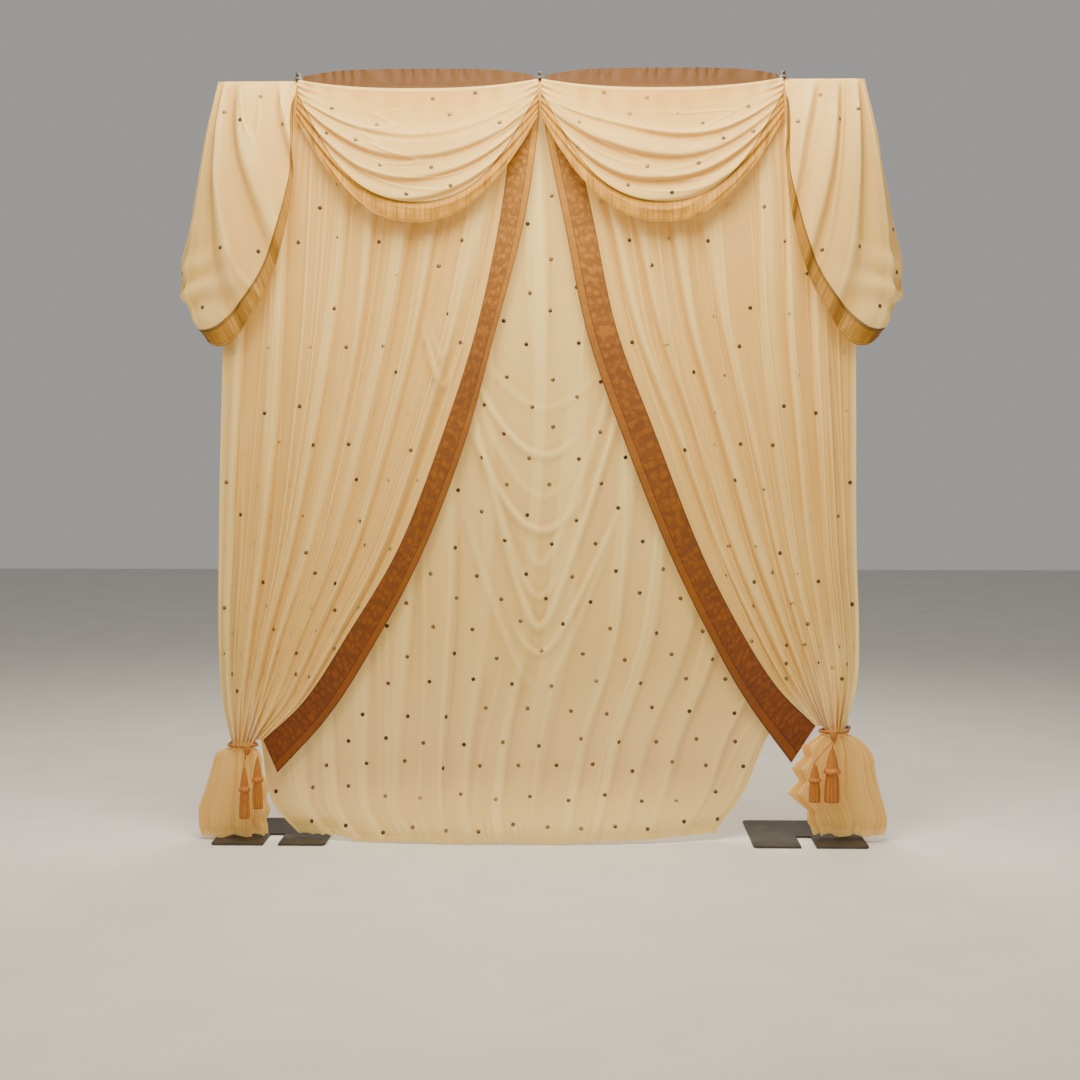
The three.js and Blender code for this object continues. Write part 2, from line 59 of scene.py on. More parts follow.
BAR_LOW, BAR_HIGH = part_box("crossbar_inner")
BAR_Z = (BAR_LOW[2] + BAR_HIGH[2]) / 2
POST_LOW, POST_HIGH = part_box("upright_lower_right")
POST_X = (POST_LOW[0] + POST_HIGH[0]) / 2
POST_RADIUS = (POST_HIGH[0] - POST_LOW[0]) / 2
PIN_LOW, PIN_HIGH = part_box("swag_pin_right")
PIN_X = (PIN_LOW[0] + PIN_HIGH[0]) / 2
STRIP_LOW, STRIP_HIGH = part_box("header_strip_left")

# Distance of each cloth layer from the bar's axis, from the inside out

DRAPE_RADIUS = 0.0209
CURTAIN_RADIUS = 0.0243
STRIP_DEPTH = 0.0277
SWAG_DEPTH = 0.0311

# Height of the swags' top edge at the pins, and how far it droops between them

SWAG_TOP = 3.0075
SWAG_DROOP = 0.036

# Half width and half depth of the gathered cloth at a tie, and how far forward it lies

NECK_HALF = 0.04
NECK_DEEP = 0.027
NECK_Y = -0.085

# How far the cloths stand forward where they hang freely, and the flap of the back drape

DRAPE_STAND = 0.022
CURTAIN_STAND = 0.06
CURTAIN_BELLY = 0.006
SWAG_STAND = 0.06
SWAG_BELLY = 0.075
DRAPE_FLAP = 0.08

# How far the middle of a swag hangs below its pins, without and with its round

SWAG_SIDE_DROP = 0.135
SWAG_ROUND_DROP = 0.42

# Folds: how many cross each cloth, and how far its main ones stand out

DRAPE_TURNS = 14
DRAPE_FOLD = 0.009
CURTAIN_TURNS = 7.3
CURTAIN_FOLD = 0.013
GATHERED_TURNS = 9
SWAG_TURNS = 6.0
SWAG_FOLD = 0.011
SIDE_TURNS = 6.5
SIDE_FOLD = 0.009
CRUSH_FOLD = 0.012
STRIP_TUCKS = 17

# The cut of each cloth, as its width and height

DRAPE_CUT = (3.0, 3.15)
CURTAIN_CUT = (1.12, 2.75)
BORDER_CUT = (0.11, 2.9)
SWAG_CUT = (1.15, 0.7)
SWAG_HEM_CUT = (1.3, 0.08)
SIDE_CUT = (1.3, 0.95)
SIDE_HEM_CUT = (2.0, 0.04)
STRIP_CUT = (0.95, 0.09)

# The width and height over which the rows of sequins are spaced on each cloth

DRAPE_SPREAD = (2.45, 3.0)
CURTAIN_SPREAD = (1.2, 2.7)
SWAG_SPREAD = (0.95, 0.62)
SIDE_SPREAD = (1.1, 0.9)

# Fine detail of the cloths and the metal, and the scale of a cloth's threads

HEM_WIDTH = 0.03
STITCH_WIDTH = 0.0026
THREAD_HEIGHT = 0.0012
CLOTH_THREADS = 210.0
SCRATCH_DEPTH = 0.0005
SEQUIN_DEPTH = 0.0018
SEQUIN_LIFT = 0.0016

# Ropes, cords, knots and pins. A knot's profile is (radius, height), and a tassel's is the
# same for one that is a metre high, from its top down

ROPE_SPACE = 0.007
ROPE_TWISTS = 12
CORD_WIDTH = 0.006
CORD_GAP = 0.0003
CLIP_BODY = 0.016
CLIP_GRIP = 0.0075
PIN_SPACE = 0.022
KNOT_HEIGHT = 0.034
KNOT_PROFILE = [(0, 0), (0.0095, 0), (0.0125, 0.003), (0.0142, 0.007), (0.0132, 0.0105),
                (0.0146, 0.014), (0.015, 0.019), (0.0145, 0.0235), (0.013, 0.0255),
                (0.0138, 0.028), (0.012, 0.032), (0.009, 0.0338), (0, KNOT_HEIGHT)]
TASSEL_PROFILE = [(0, -0.965), (0.026, -0.965), (0.0305, -0.995), (0.033, -0.985),
                  (0.0326, -0.9), (0.0315, -0.8), (0.0298, -0.7), (0.028, -0.6),
                  (0.026, -0.52), (0.0245, -0.475), (0.028, -0.462), (0.0335, -0.45),
                  (0.035, -0.43), (0.0345, -0.405), (0.031, -0.385), (0.0262, -0.372),
                  (0.0245, -0.35), (0.0238, -0.33), (0.022, -0.27), (0.0192, -0.2),
                  (0.0158, -0.14), (0.0124, -0.085), (0.0095, -0.045), (0.0088, -0.02),
                  (0.0075, -0.006), (0.005, 0), (0, 0)]

# The stage. Each lamp has its place, the height that it aims at above the middle, its width,
# watts and colour. The tilt of the camera comes from the photograph: the horizon's height
# above the picture's middle and the focal length, both in pixels

FLOOR_HALF = 14
LAMPS = (
    ("key", (-3.6, -5.2, 4.4), 2.1, 2.4, 130, (1.0, 0.91, 0.76)),
    ("fill", (4.6, -5.0, 2.8), 1.6, 3.5, 62, (1.0, 0.93, 0.82)),
    ("top", (0.0, -1.2, 4.3), 2.7, 2.6, 290, (1.0, 0.91, 0.72)),
    ("back", (0.2, 1.9, 4.2), 2.3, 2.8, 200, (1.0, 0.9, 0.72)),
)
SKY_COLOUR = (0.86, 0.84, 0.8)
SKY_STRENGTH = 0.42
CAMERA_PLACE = (0.15, -6.6, 1.58)
LENS_MM = 55
SENSOR_MM = 36
HORIZON_PX = 97
FOCUS_PX = 1650

SIDES = (("left", -1), ("right", 1))
TURN = 2 * math.pi

# Back drape edges, as (height, x)

DRAPE_LEFT = [(2.985, -1.236), (2.0, -1.226), (0.9, -1.205), (0.375, -1.122), (0.15, -1.08),
              (0.02, -0.965)]
DRAPE_RIGHT = [(2.985, 1.236), (1.5, 1.226), (0.9, 1.15), (0.65, 1.05), (0.394, 0.905),
               (0.192, 0.82), (0.02, 0.705)]

# The back drape's nested cowls, as (height of the lowest point, slope of the arms, roundness,
# width of the fold, how far it stands out, how much stronger its right arm is)

COWLS = [(0.6, 3.0, 0.09, 0.018, 0.006, 0.0), (0.745, 2.6, 0.1, 0.014, 0.009, 1.2),
         (0.85, 3.6, 0.06, 0.017, 0.014, 0.4), (0.97, 3.5, 0.09, 0.014, 0.006, -1.3),
         (1.1, 3.6, 0.07, 0.018, 0.006, 1.2), (1.235, 3.0, 0.25, 0.015, 0.011, -0.7),
         (1.37, 2.8, 0.2, 0.016, 0.004, -1.0), (1.53, 2.4, 0.24, 0.014, 0.01, -1.0),
         (1.72, 2.0, 0.25, 0.016, 0.004, -0.4)]

# Each side: the curtain's outer edge, its border's outer edge and the border's free edge as
# (x, z) from the bar to the tie; the tail's rings as (z, x, half x, depth, half depth); the
# knot as (x, bottom, depth), the tassels as (x, top, depth, height, width), and how strongly
# the tail's inner side is ruffled. Droop is the lowest point of a fold beside the border

ARMS = {
    "left": {
        "side": -1,
        "tie": (-1.187, 0.375),
        "edge": [(1.243, 2.985), (1.243, 2.79), (1.246, 2.445), (1.25, 2.025), (1.262, 1.6),
                 (1.276, 1.164), (1.282, 0.82), (1.27, 0.56), (1.23, 0.375)],
        "border": [(0.104, 2.985), (0.112, 2.79), (0.158, 2.445), (0.25, 2.025), (0.388, 1.6),
                   (0.56, 1.164), (0.764, 0.82), (0.934, 0.56), (1.106, 0.394)],
        "inner": [(0.004, 2.985), (0.008, 2.785), (0.064, 2.43), (0.177, 2.005), (0.3, 1.565),
                  (0.478, 1.115), (0.69, 0.725), (0.852, 0.48), (1.05, 0.262)],
        "tail": [(0.375, 1.187, 0.04, 0.085, 0.027), (0.364, 1.193, 0.05, 0.086, 0.029),
                 (0.345, 1.208, 0.086, 0.088, 0.032), (0.29, 1.212, 0.1, 0.092, 0.038),
                 (0.2, 1.218, 0.124, 0.097, 0.042), (0.125, 1.227, 0.14, 0.1, 0.044),
                 (0.06, 1.228, 0.138, 0.102, 0.045), (0.018, 1.224, 0.13, 0.102, 0.044)],
        "flutes": 8,
        "seed": 3.1,
        "knot": (1.16, 0.35, 0.1419),
        "tassels": [(1.11, 0.338, 0.186, 0.2, 0.68), (1.162, 0.3, 0.19, 0.2, 0.68)],
        "tail_cut": (0.78, 0.37),
        "ruffle": 0.3,
        "droop": (0.38, 1.81),
    },
    "right": {
        "side": 1,
        "tie": (1.168, 0.44),
        "edge": [(1.243, 2.985), (1.243, 2.79), (1.24, 2.445), (1.238, 2.025), (1.244, 1.6),
                 (1.25, 1.164), (1.262, 0.85), (1.256, 0.62), (1.208, 0.44)],
        "border": [(0.112, 2.985), (0.138, 2.79), (0.213, 2.445), (0.304, 2.025), (0.463, 1.6),
                   (0.634, 1.164), (0.792, 0.85), (0.938, 0.62), (1.096, 0.459)],
        "inner": [(0.004, 2.985), (0.026, 2.785), (0.099, 2.43), (0.19, 2.0), (0.345, 1.56),
                  (0.525, 1.12), (0.715, 0.74), (0.84, 0.53), (1.001, 0.31)],
        "tail": [(0.44, 1.168, 0.04, 0.085, 0.027), (0.43, 1.17, 0.046, 0.086, 0.029),
                 (0.412, 1.176, 0.09, 0.088, 0.032), (0.355, 1.18, 0.142, 0.09, 0.036),
                 (0.28, 1.178, 0.16, 0.094, 0.04), (0.2, 1.18, 0.178, 0.096, 0.043),
                 (0.1, 1.218, 0.162, 0.098, 0.045), (0.032, 1.226, 0.14, 0.098, 0.044)],
        "flutes": 9,
        "seed": 7.4,
        "knot": (1.158, 0.415, 0.1456),
        "tassels": [(1.148, 0.386, 0.181, 0.212, 1.0), (1.08, 0.325, 0.184, 0.15, 0.76)],
        "tail_cut": (1.0, 0.42),
        "ruffle": 1.0,
    },
}

# The side swag on the right end of the bar, in rows of (x, y, z) from the bar to the hem, each
# from the front pin round the outside to the back

SIDE_LOOP = [
    [(0.958, -0.0236, 3.0), (1.06, -0.0236, 3.0), (1.19, -0.0236, 3.0), (1.262, -0.026, 3.002),
     (1.274, 0.002, 3.003), (1.258, 0.03, 3.0), (1.02, 0.032, 2.993)],
    [(0.958, -0.042, 2.976), (1.06, -0.046, 2.973), (1.19, -0.046, 2.97), (1.264, -0.032, 2.968),
     (1.278, 0.0, 2.966), (1.26, 0.038, 2.962), (1.02, 0.038, 2.958)],
    [(0.958, -0.064, 2.948), (1.04, -0.095, 2.88), (1.18, -0.106, 2.815), (1.29, -0.072, 2.775),
     (1.324, 0.0, 2.765), (1.272, 0.06, 2.82), (1.02, 0.044, 2.932)],
    [(0.958, -0.09, 2.918), (1.01, -0.124, 2.78), (1.16, -0.146, 2.63), (1.32, -0.1, 2.515),
     (1.38, 0.0, 2.48), (1.312, 0.07, 2.62), (1.015, 0.05, 2.905)],
    [(0.958, -0.108, 2.884), (0.984, -0.136, 2.64), (1.115, -0.158, 2.38), (1.338, -0.128, 2.185),
     (1.43, -0.004, 2.19), (1.342, 0.08, 2.42), (1.014, 0.055, 2.88)],
    [(0.958, -0.122, 2.848), (0.966, -0.136, 2.54), (1.052, -0.156, 2.205), (1.222, -0.158, 1.962),
     (1.352, -0.052, 2.068), (1.312, 0.08, 2.33), (1.012, 0.06, 2.858)],
]


# Small maths

def clamp(value):
    return min(1.0, max(0.0, value))


def mix(a, b, t):
    return a + (b - a) * t


def smooth(start, end, value):
    t = clamp((value - start) / (end - start))
    return t * t * (3 - 2 * t)


def lap(turns):
    """A lapped fold's profile: it swells slowly and falls back steeply, from -1 to 1."""
    t = turns - math.floor(turns)
    return 2 * smooth(0, 0.74, t) * smooth(1, 0.78, t) - 1


def strand(x, y, seed, sharp=8.0):
    """Thin lines that wander, merge and part: 1 on a line and 0 beside it."""
    return max(0.0, 1 - sharp * abs(wander(x, y, seed))) ** 2


def doubled(turns, along, seed):
    """Where a fold lies double, 0 to 1: strips of uneven width with clear edges."""
    turn = math.floor(turns)
    t = turns - turn
    start = 0.68 - 0.4 * wander(turn * 1.37, along * 0.8, seed)
    strength = clamp(0.6 + 1.3 * wander(turn * 0.77, along * 1.6, seed + 1))
    return strength * smooth(start - 0.08, start, t) * smooth(0.98, 0.92, t)


def curve_value(points, place):
    """The value at place on a smooth curve through (place, value) points."""
    last = len(points) - 1
    order = points[last][0] - points[0][0]
    i = 0
    while i < last - 1 and (points[i + 1][0] - place) * order < 0:
        i += 1

    def slope(k):
        a = points[max(0, k - 1)]
        b = points[min(last, k + 1)]
        return (b[1] - a[1]) / (b[0] - a[0])

    span = points[i + 1][0] - points[i][0]
    t = clamp((place - points[i][0]) / span)
    t2 = t * t
    t3 = t2 * t
    return ((2 * t3 - 3 * t2 + 1) * points[i][1] + (t3 - 2 * t2 + t) * span * slope(i)
            + (3 * t2 - 2 * t3) * points[i + 1][1] + (t3 - t2) * span * slope(i + 1))


def numbered(points):
    """One list of (number, value) for each coordinate of a row of points."""
    return [[(i, point[k]) for i, point in enumerate(points)] for k in range(len(points[0]))]


def wander(x, y, seed):
    """Smooth noise between -1 and 1."""
    return noise.noise(Vector((x, y, seed)))


def round_bar(x, radius, degrees):
    """A point on a cloth layer over the bar; 0 degrees is at the back, 180 at the front."""
    angle = math.radians(degrees)
    return Vector((x, radius * math.cos(angle), BAR_Z + radius * math.sin(angle)))


# Cloth, sequins and turned pieces

def bend_at(rows, j, i, reach):
    """How far a point stands in front of its neighbours on both sides, for their distance."""
    point = rows[j][i].co
    normal = rows[j][i].normal
    total = 0.0
    step = min(reach, i, len(rows[j]) - 1 - i)
    if step:
        a, b = rows[j][i - step].co, rows[j][i + step].co
        total += (point - (a + b) / 2).dot(normal) / max(1e-4, (a - b).length)
    step = min(reach, j, len(rows) - 1 - j)
    if step:
        a, b = rows[j - step][i].co, rows[j + step][i].co
        total += (point - (a + b) / 2).dot(normal) / max(1e-4, (a - b).length)
    return total


def fill_cloth(bm, across, down, place, size, front=1, hems="", closed=False, pale=None,
               calm=None):
    """A grid bent onto place(u, v), with u and v scaled to the cloth's cut size as its UV map.

    The fold attribute is a painted highlight on crests and painted shade in creases, and it adds
    pale(u, v), which gives paler strips of double cloth where it is positive and painted shade
    where it is negative; calm(u, v) takes a share of the bends away. The edge attribute is the
    distance in
    metres to the nearest hemmed edge: l, r, t and b name the edges with hems.
    """
    fold = bm.verts.layers.float.new("fold")
    edge = bm.verts.layers.float.new("edge")
    uv_map = bm.loops.layers.uv.verify()
    bmesh.ops.create_grid(bm, x_segments=across, y_segments=down, size=0.5, calc_uvs=True)
    bm.verts.ensure_lookup_table()
    spots = {vert: (clamp(vert.co.x + 0.5), clamp(0.5 - vert.co.y)) for vert in bm.verts}
    for face in bm.faces:
        for loop in face.loops:
            u, v = spots[loop.vert]
            loop[uv_map].uv = (u * size[0], v * size[1])
    for vert, (u, v) in spots.items():
        vert.co = place(u, v)
        gaps = {"l": u * size[0], "r": (1 - u) * size[0], "t": v * size[1], "b": (1 - v) * size[1]}
        vert[edge] = min([1.0] + [gaps[key] for key in hems])
    if front < 0:
        bmesh.ops.reverse_faces(bm, faces=bm.faces[:])
    bm.normal_update()
    rows = [bm.verts[j * (across + 1):(j + 1) * (across + 1)] for j in range(down + 1)]
    for j, row in enumerate(rows):
        for i, vert in enumerate(row):
            # Painted highlight and shade: the fold value rises where a point stands out and falls
            # in creases
            bend = 2.0 * bend_at(rows, j, i, 2) + 0.8 * bend_at(rows, j, i, 7)
            if calm:
                bend *= 1 - calm(*spots[vert])
            if pale:
                bend += 0.45 * pale(*spots[vert])
            vert[fold] = bend
    if closed:
        bmesh.ops.remove_doubles(bm, verts=bm.verts[:], dist=1e-6)
        bm.normal_update()


def surface_frame(place, u, v):
    """A point on a cloth and the unit vector that stands on its front there."""
    step = 0.002
    across = place(min(1, u + step), v) - place(max(0, u - step), v)
    down = place(u, min(1, v + step)) - place(u, max(0, v - step))
    normal = down.cross(across)
    if normal.length < 1e-12:
        normal = Vector((0, -1, 0))
    return place(u, v), normal.normalized()


def fill_sequins(bm, place, spots, radius, front, hidden):
    """Small dished discs sewn on a cloth; a share of them lies behind a layer of it."""
    for i, (u, v) in enumerate(spots):
        point, normal = surface_frame(place, u, v)
        normal *= front
        turn = normal.to_track_quat("Z", "Y").to_matrix().to_4x4()
        off = -SEQUIN_LIFT if (i * 0.618) % 1 < hidden else SEQUIN_LIFT
        bmesh.ops.create_cone(bm, cap_ends=True, cap_tris=False, segments=12, radius1=radius,
                              radius2=radius * 0.72, depth=SEQUIN_DEPTH,
                              matrix=Matrix.Translation(point + normal * off) @ turn)


def lattice(width, height, column, row):
    """Staggered spots, as fractions, on a cloth of that cut size, each a little off its row."""
    spots = []
    columns = int(width / column)
    rows = int(height / row)
    for i in range(columns):
        for j in range(rows):
            u = (i + 0.5 + 0.25 * wander(i * 1.7, j * 1.3, 2.5)) / columns
            v = (j + 0.25 + 0.5 * (i % 2) + 0.2 * wander(i * 1.3, j * 1.9, 8.5)) / rows
            spots.append((u, v))
    return spots


def turned(bm, profile, sides, centre):
    """A solid of revolution about an upright axis, from (radius, z) points."""
    x, y = centre
    verts = [bm.verts.new((x + radius, y, z)) for radius, z in profile]
    edges = [bm.edges.new(pair) for pair in zip(verts, verts[1:])]
    bmesh.ops.spin(bm, geom=verts + edges, cent=(x, y, 0), axis=(0, 0, 1), dvec=(0, 0, 0),
                   angle=TURN, steps=sides, use_merge=True, use_duplicate=False)
    bmesh.ops.remove_doubles(bm, verts=bm.verts[:], dist=1e-6)
    bmesh.ops.recalc_face_normals(bm, faces=bm.faces[:])
    uv_map = bm.loops.layers.uv.verify()
    for face in bm.faces:
        middle = face.calc_center_median()
        facing = math.atan2(middle.y - y, middle.x - x)
        for loop in face.loops:
            off_x, off_y, z = loop.vert.co.x - x, loop.vert.co.y - y, loop.vert.co.z
            angle = math.atan2(off_y, off_x) if math.hypot(off_x, off_y) > 1e-6 else facing
            angle += TURN * round((facing - angle) / TURN)
            loop[uv_map].uv = (0.03 * angle, z)


# Node helpers

class Shader:
    """A surface whose nodes are added one by one. The methods give back output sockets."""

    def __init__(self, name):
        self.material = bpy.data.materials.new(name)
        self.material.use_nodes = True
        self.nodes = self.material.node_tree.nodes
        self.nodes.clear()
        self.output = self.nodes.new("ShaderNodeOutputMaterial")
        self.body = self.nodes.new("ShaderNodeBsdfPrincipled")
        self.join(self.body.outputs["BSDF"], self.output.inputs["Surface"])
        self.spot = self.nodes.new("ShaderNodeTexCoord")

    def join(self, value, socket):
        """Links an output to an input, or sets the input to a number, vector or colour."""
        if isinstance(value, bpy.types.NodeSocket):
            self.material.node_tree.links.new(value, socket)
        elif socket.type == "RGBA":
            socket.default_value = tint(value)
        else:
            socket.default_value = value

    def add(self, kind, **values):
        """A new node; each value goes to its input of that name, or else to its setting."""
        node = self.nodes.new(kind)
        for key, value in values.items():
            name = key.replace("_", " ")
            if name in node.inputs:
                self.join(value, node.inputs[name])
            else:
                setattr(node, key, value)
        return node

    def dress(self, **values):
        """Sets or links the surface's own inputs."""
        for key, value in values.items():
            self.join(value, self.body.inputs[key.replace("_", " ")])

    def attribute(self, name):
        return self.add("ShaderNodeAttribute", attribute_name=name).outputs["Fac"]

    def noise(self, coordinate, scale, detail=3.0, roughness=0.5):
        return self.add("ShaderNodeTexNoise", Vector=self.spot.outputs[coordinate], Scale=scale,
                        Detail=detail, Roughness=roughness).outputs["Fac"]

    def streaks(self, coordinate, stretch, detail=6.0):
        """Noise drawn out by different scales along its three axes."""
        mapping = self.add("ShaderNodeMapping", Vector=self.spot.outputs[coordinate], Scale=stretch)
        return self.add("ShaderNodeTexNoise", Vector=mapping.outputs["Vector"], Scale=3.0,
                        Detail=detail).outputs["Fac"]

    def wave(self, coordinate, scale, direction, distortion, **more):
        return self.add("ShaderNodeTexWave", bands_direction=direction, Scale=scale,
                        Distortion=distortion, Vector=self.spot.outputs[coordinate],
                        **more).outputs["Fac"]

    def maths(self, operation, *terms):
        node = self.add("ShaderNodeMath", operation=operation)
        for term, socket in zip(terms, node.inputs):
            self.join(term, socket)
        return node.outputs["Value"]

    def ramp(self, source, *stops):
        """Colours along an output, from (place, colour) stops."""
        node = self.add("ShaderNodeValToRGB", Fac=source)
        band = node.color_ramp
        for element, (place, colour) in zip(band.elements, (stops[0], stops[-1])):
            element.position, element.color = place, tint(colour)
        for place, colour in stops[1:-1]:
            band.elements.new(place).color = tint(colour)
        return node.outputs["Color"]

    def blend(self, share, first, second, mode="MIX"):
        """Two colours mixed or multiplied, by a share of the second."""
        node = self.add("ShaderNodeMix", data_type="RGBA", blend_type=mode)
        for term, number in ((share, 0), (first, 6), (second, 7)):
            self.join(term, node.inputs[number])
        return node.outputs[2]

    def spread(self, source, low, high):
        """An output from 0 to 1, brought to another range."""
        return self.add("ShaderNodeMapRange", Value=source, To_Min=low,
                        To_Max=high).outputs["Result"]

    def bump(self, height, strength, distance):
        node = self.add("ShaderNodeBump", Strength=strength, Distance=distance, Height=height)
        self.dress(Normal=node.outputs["Normal"])


def tint(colour):
    return (colour[0], colour[1], colour[2], 1.0)


def toned(colour, *shares):
    """A colour made paler or darker by one share, or by one for each channel."""
    if len(shares) == 1:
        shares *= len(colour)
    return [min(1.0, part * share) for part, share in zip(colour, shares)]


def sheer_cloth(name, colour, cover, glow):
    """Sheer woven cloth: painted highlight on crests, painted shade in creases, hems, a fine weave
    and light through it.
    """
    s = Shader(name)
    # Painted highlight (the crest colour) and painted shade (the crease colour), picked by the fold
    # value; the hem also takes the crest colour and the stitch line the crease colour
    crest = toned(colour, 1.08, 1.2, 1.5)
    crease_shade_and_stitch = toned(colour, 0.86, 0.76, 0.62)
    edge = s.attribute("edge")
    uneven = s.maths("MULTIPLY_ADD", s.noise("Object", 2.3), 0.5, 0.25)
    level = s.maths("ADD", s.attribute("fold"), uneven)
    tones = s.ramp(level, (0.1, crease_shade_and_stitch), (0.5, colour), (1.0, crest))
    hem = s.maths("LESS_THAN", edge, HEM_WIDTH)
    stitch = s.maths("COMPARE", edge, HEM_WIDTH - 0.0025, STITCH_WIDTH / 2)
    warp = s.wave("UV", CLOTH_THREADS, "X", 0.4)
    weft = s.wave("UV", CLOTH_THREADS, "Y", 0.4)
    weave = s.maths("MULTIPLY", warp, weft)
    threads = s.ramp(weave, (0.0, (0.92, 0.9, 0.86)), (0.6, (1, 1, 1)))
    woven = s.blend(0.5, tones, threads, "MULTIPLY")
    hemmed = s.blend(s.maths("MULTIPLY", hem, 0.65), woven, crest)
    stitched = s.blend(s.maths("MULTIPLY", stitch, 0.6), hemmed, crease_shade_and_stitch)
    crinkle = s.noise("UV", 26.0, 4.0, 0.6)
    raised = s.maths("MULTIPLY_ADD", weave, 0.35, s.maths("MULTIPLY", crinkle, 1.3))
    s.bump(s.maths("MULTIPLY_ADD", hem, 0.6, raised), 0.25, THREAD_HEIGHT)
    dense = s.maths("MULTIPLY_ADD", level, 0.16, cover - 0.08)
    close = s.maths("MULTIPLY_ADD", hem, 0.1, dense)
    close.node.use_clamp = True
    s.dress(Base_Color=stitched, Alpha=close, Roughness=s.spread(crinkle, 0.48, 0.72),
            Sheen_Weight=0.15, Sheen_Roughness=0.4, Specular_IOR_Level=0.3)
    through = s.add("ShaderNodeBsdfTranslucent", Color=stitched)
    both = s.add("ShaderNodeMixShader", Fac=glow)
    s.join(s.body.outputs["BSDF"], both.inputs[1])
    s.join(through.outputs["BSDF"], both.inputs[2])
    s.join(both.outputs["Shader"], s.output.inputs["Surface"])
    return s.material


def brocade(name, colour, dark, pale, width, axis, rim, stripe, leafy):
    """Woven gold border: small scrolling leaves, thin dark lines and a plain stripe.

    Axis is the UV axis across the border, X or Y. Rim and stripe are the shares of its width
    where the dark line at one edge ends and the plain stripe at the other starts. A leafy border
    has painted light down its length, pale gold at the top and darker rust lower down; the other
    kind has gathers instead of leaves, with painted shade between them and painted highlight on
    them.
    """
    s = Shader(name)
    along = "Y" if axis == "X" else "X"
    split = s.add("ShaderNodeSeparateXYZ", Vector=s.spot.outputs["UV"])
    across = s.maths("DIVIDE", split.outputs[axis], width)
    leaf = s.add("ShaderNodeTexVoronoi", feature="SMOOTH_F1", Scale=36.0, Smoothness=0.4,
                 Vector=s.spot.outputs["UV"])
    petals = s.maths("SINE", s.maths("MULTIPLY", leaf.outputs["Distance"], 9.0))
    if leafy:
        petal_share, fleck_share = 0.3, 0.4
        ribs = s.wave("UV", 34.0, along, 1.5)
        drawn = s.maths("MULTIPLY", s.wave("UV", 7.0, along, 9.0, Detail=2.5), 0.4)
    else:
        petal_share, fleck_share = 0.05, 0.15
        # Gathered kind: the rib stripes darken the colour between gathers as painted shade and
        # lighten it on them as painted highlight
        ribs = s.streaks("UV", (26.0, 2.5, 1.0), 3.0)
        drawn = s.maths("MULTIPLY_ADD", ribs, 2.2, -0.6)
    worked = s.maths("MULTIPLY_ADD", petals, petal_share, drawn)
    figure = s.maths("MULTIPLY_ADD", s.noise("UV", 70.0, 3.0, 0.6), fleck_share, worked)
    soft_dark = [mix(a, b, 0.45) for a, b in zip(dark, colour)]
    soft_pale = [mix(a, b, 0.6) for a, b in zip(colour, pale)]
    ground = s.ramp(figure, (0.2, soft_dark), (0.55, colour), (0.85, soft_pale))
    bands = s.ramp(across, (0.0, dark), (rim, dark), (rim + 0.015, colour),
                   (stripe - 0.06, colour), (stripe - 0.045, dark), (stripe - 0.015, dark),
                   (stripe, pale), (0.95, pale), (0.965, dark), (1.0, dark))
    plain = s.maths("GREATER_THAN", across, stripe - 0.05)
    either = s.maths("MAXIMUM", plain, s.maths("LESS_THAN", across, rim + 0.01))
    base = s.blend(s.maths("MULTIPLY", either, 0.8), ground, bands)
    # Painted light on leafy borders: paler at the top and darker rust lower down
    if leafy:
        run = s.add("ShaderNodeMapRange", Value=split.outputs[along], From_Max=2.6)
        painted_light_fade = s.ramp(run.outputs["Result"], (0.0, (1.8, 2.5, 2.5)), (0.2, (1.35, 1.6, 1.6)),
                      (0.42, (1.0, 1.0, 1.0)), (1.0, (0.75, 0.55, 0.5)))
        base = s.blend(1.0, base, painted_light_fade, "MULTIPLY")
    worn = s.ramp(s.noise("Object", 9.0, 4.0, 0.6), (0.3, (0.8, 0.76, 0.72)),
                  (0.7, (1.08, 1.06, 1.0)))
    height = s.maths("MULTIPLY_ADD", s.wave("UV", 170.0, along, 0.6), 0.35, figure)
    s.bump(s.maths("MULTIPLY_ADD", ribs, 0.25, height), 0.5, THREAD_HEIGHT)
    s.dress(Base_Color=s.blend(0.8, base, worn, "MULTIPLY"), Roughness=s.spread(figure, 0.62, 0.38),
            Metallic=0.1, Sheen_Weight=0.08, Sheen_Roughness=0.35, Specular_IOR_Level=0.3)
    return s.material


def thread_gold(name, colour, lines, direction):
    """Silky twisted thread in an orange gold, with painted shade between its strands and painted
    highlight on them.
    """
    s = Shader(name)
    strands = s.wave("UV", lines, direction, 0.8)
    patches = s.noise("Object", 60.0)
    # Painted shade between the twisted strands and painted highlight on them, following the same
    # wave as the bump
    tones = s.ramp(strands, (0.0, toned(colour, 0.45)), (0.5, colour), (1.0, toned(colour, 1.35)))
    mottled = s.ramp(patches, (0.3, (0.8, 0.76, 0.7)), (0.7, (1.1, 1.08, 1.0)))
    s.bump(strands, 0.6, THREAD_HEIGHT)
    s.dress(Base_Color=s.blend(0.7, tones, mottled, "MULTIPLY"),
            Roughness=s.spread(patches, 0.4, 0.6), Metallic=0.1, Sheen_Weight=0.12,
            Sheen_Roughness=0.3)
    return s.material


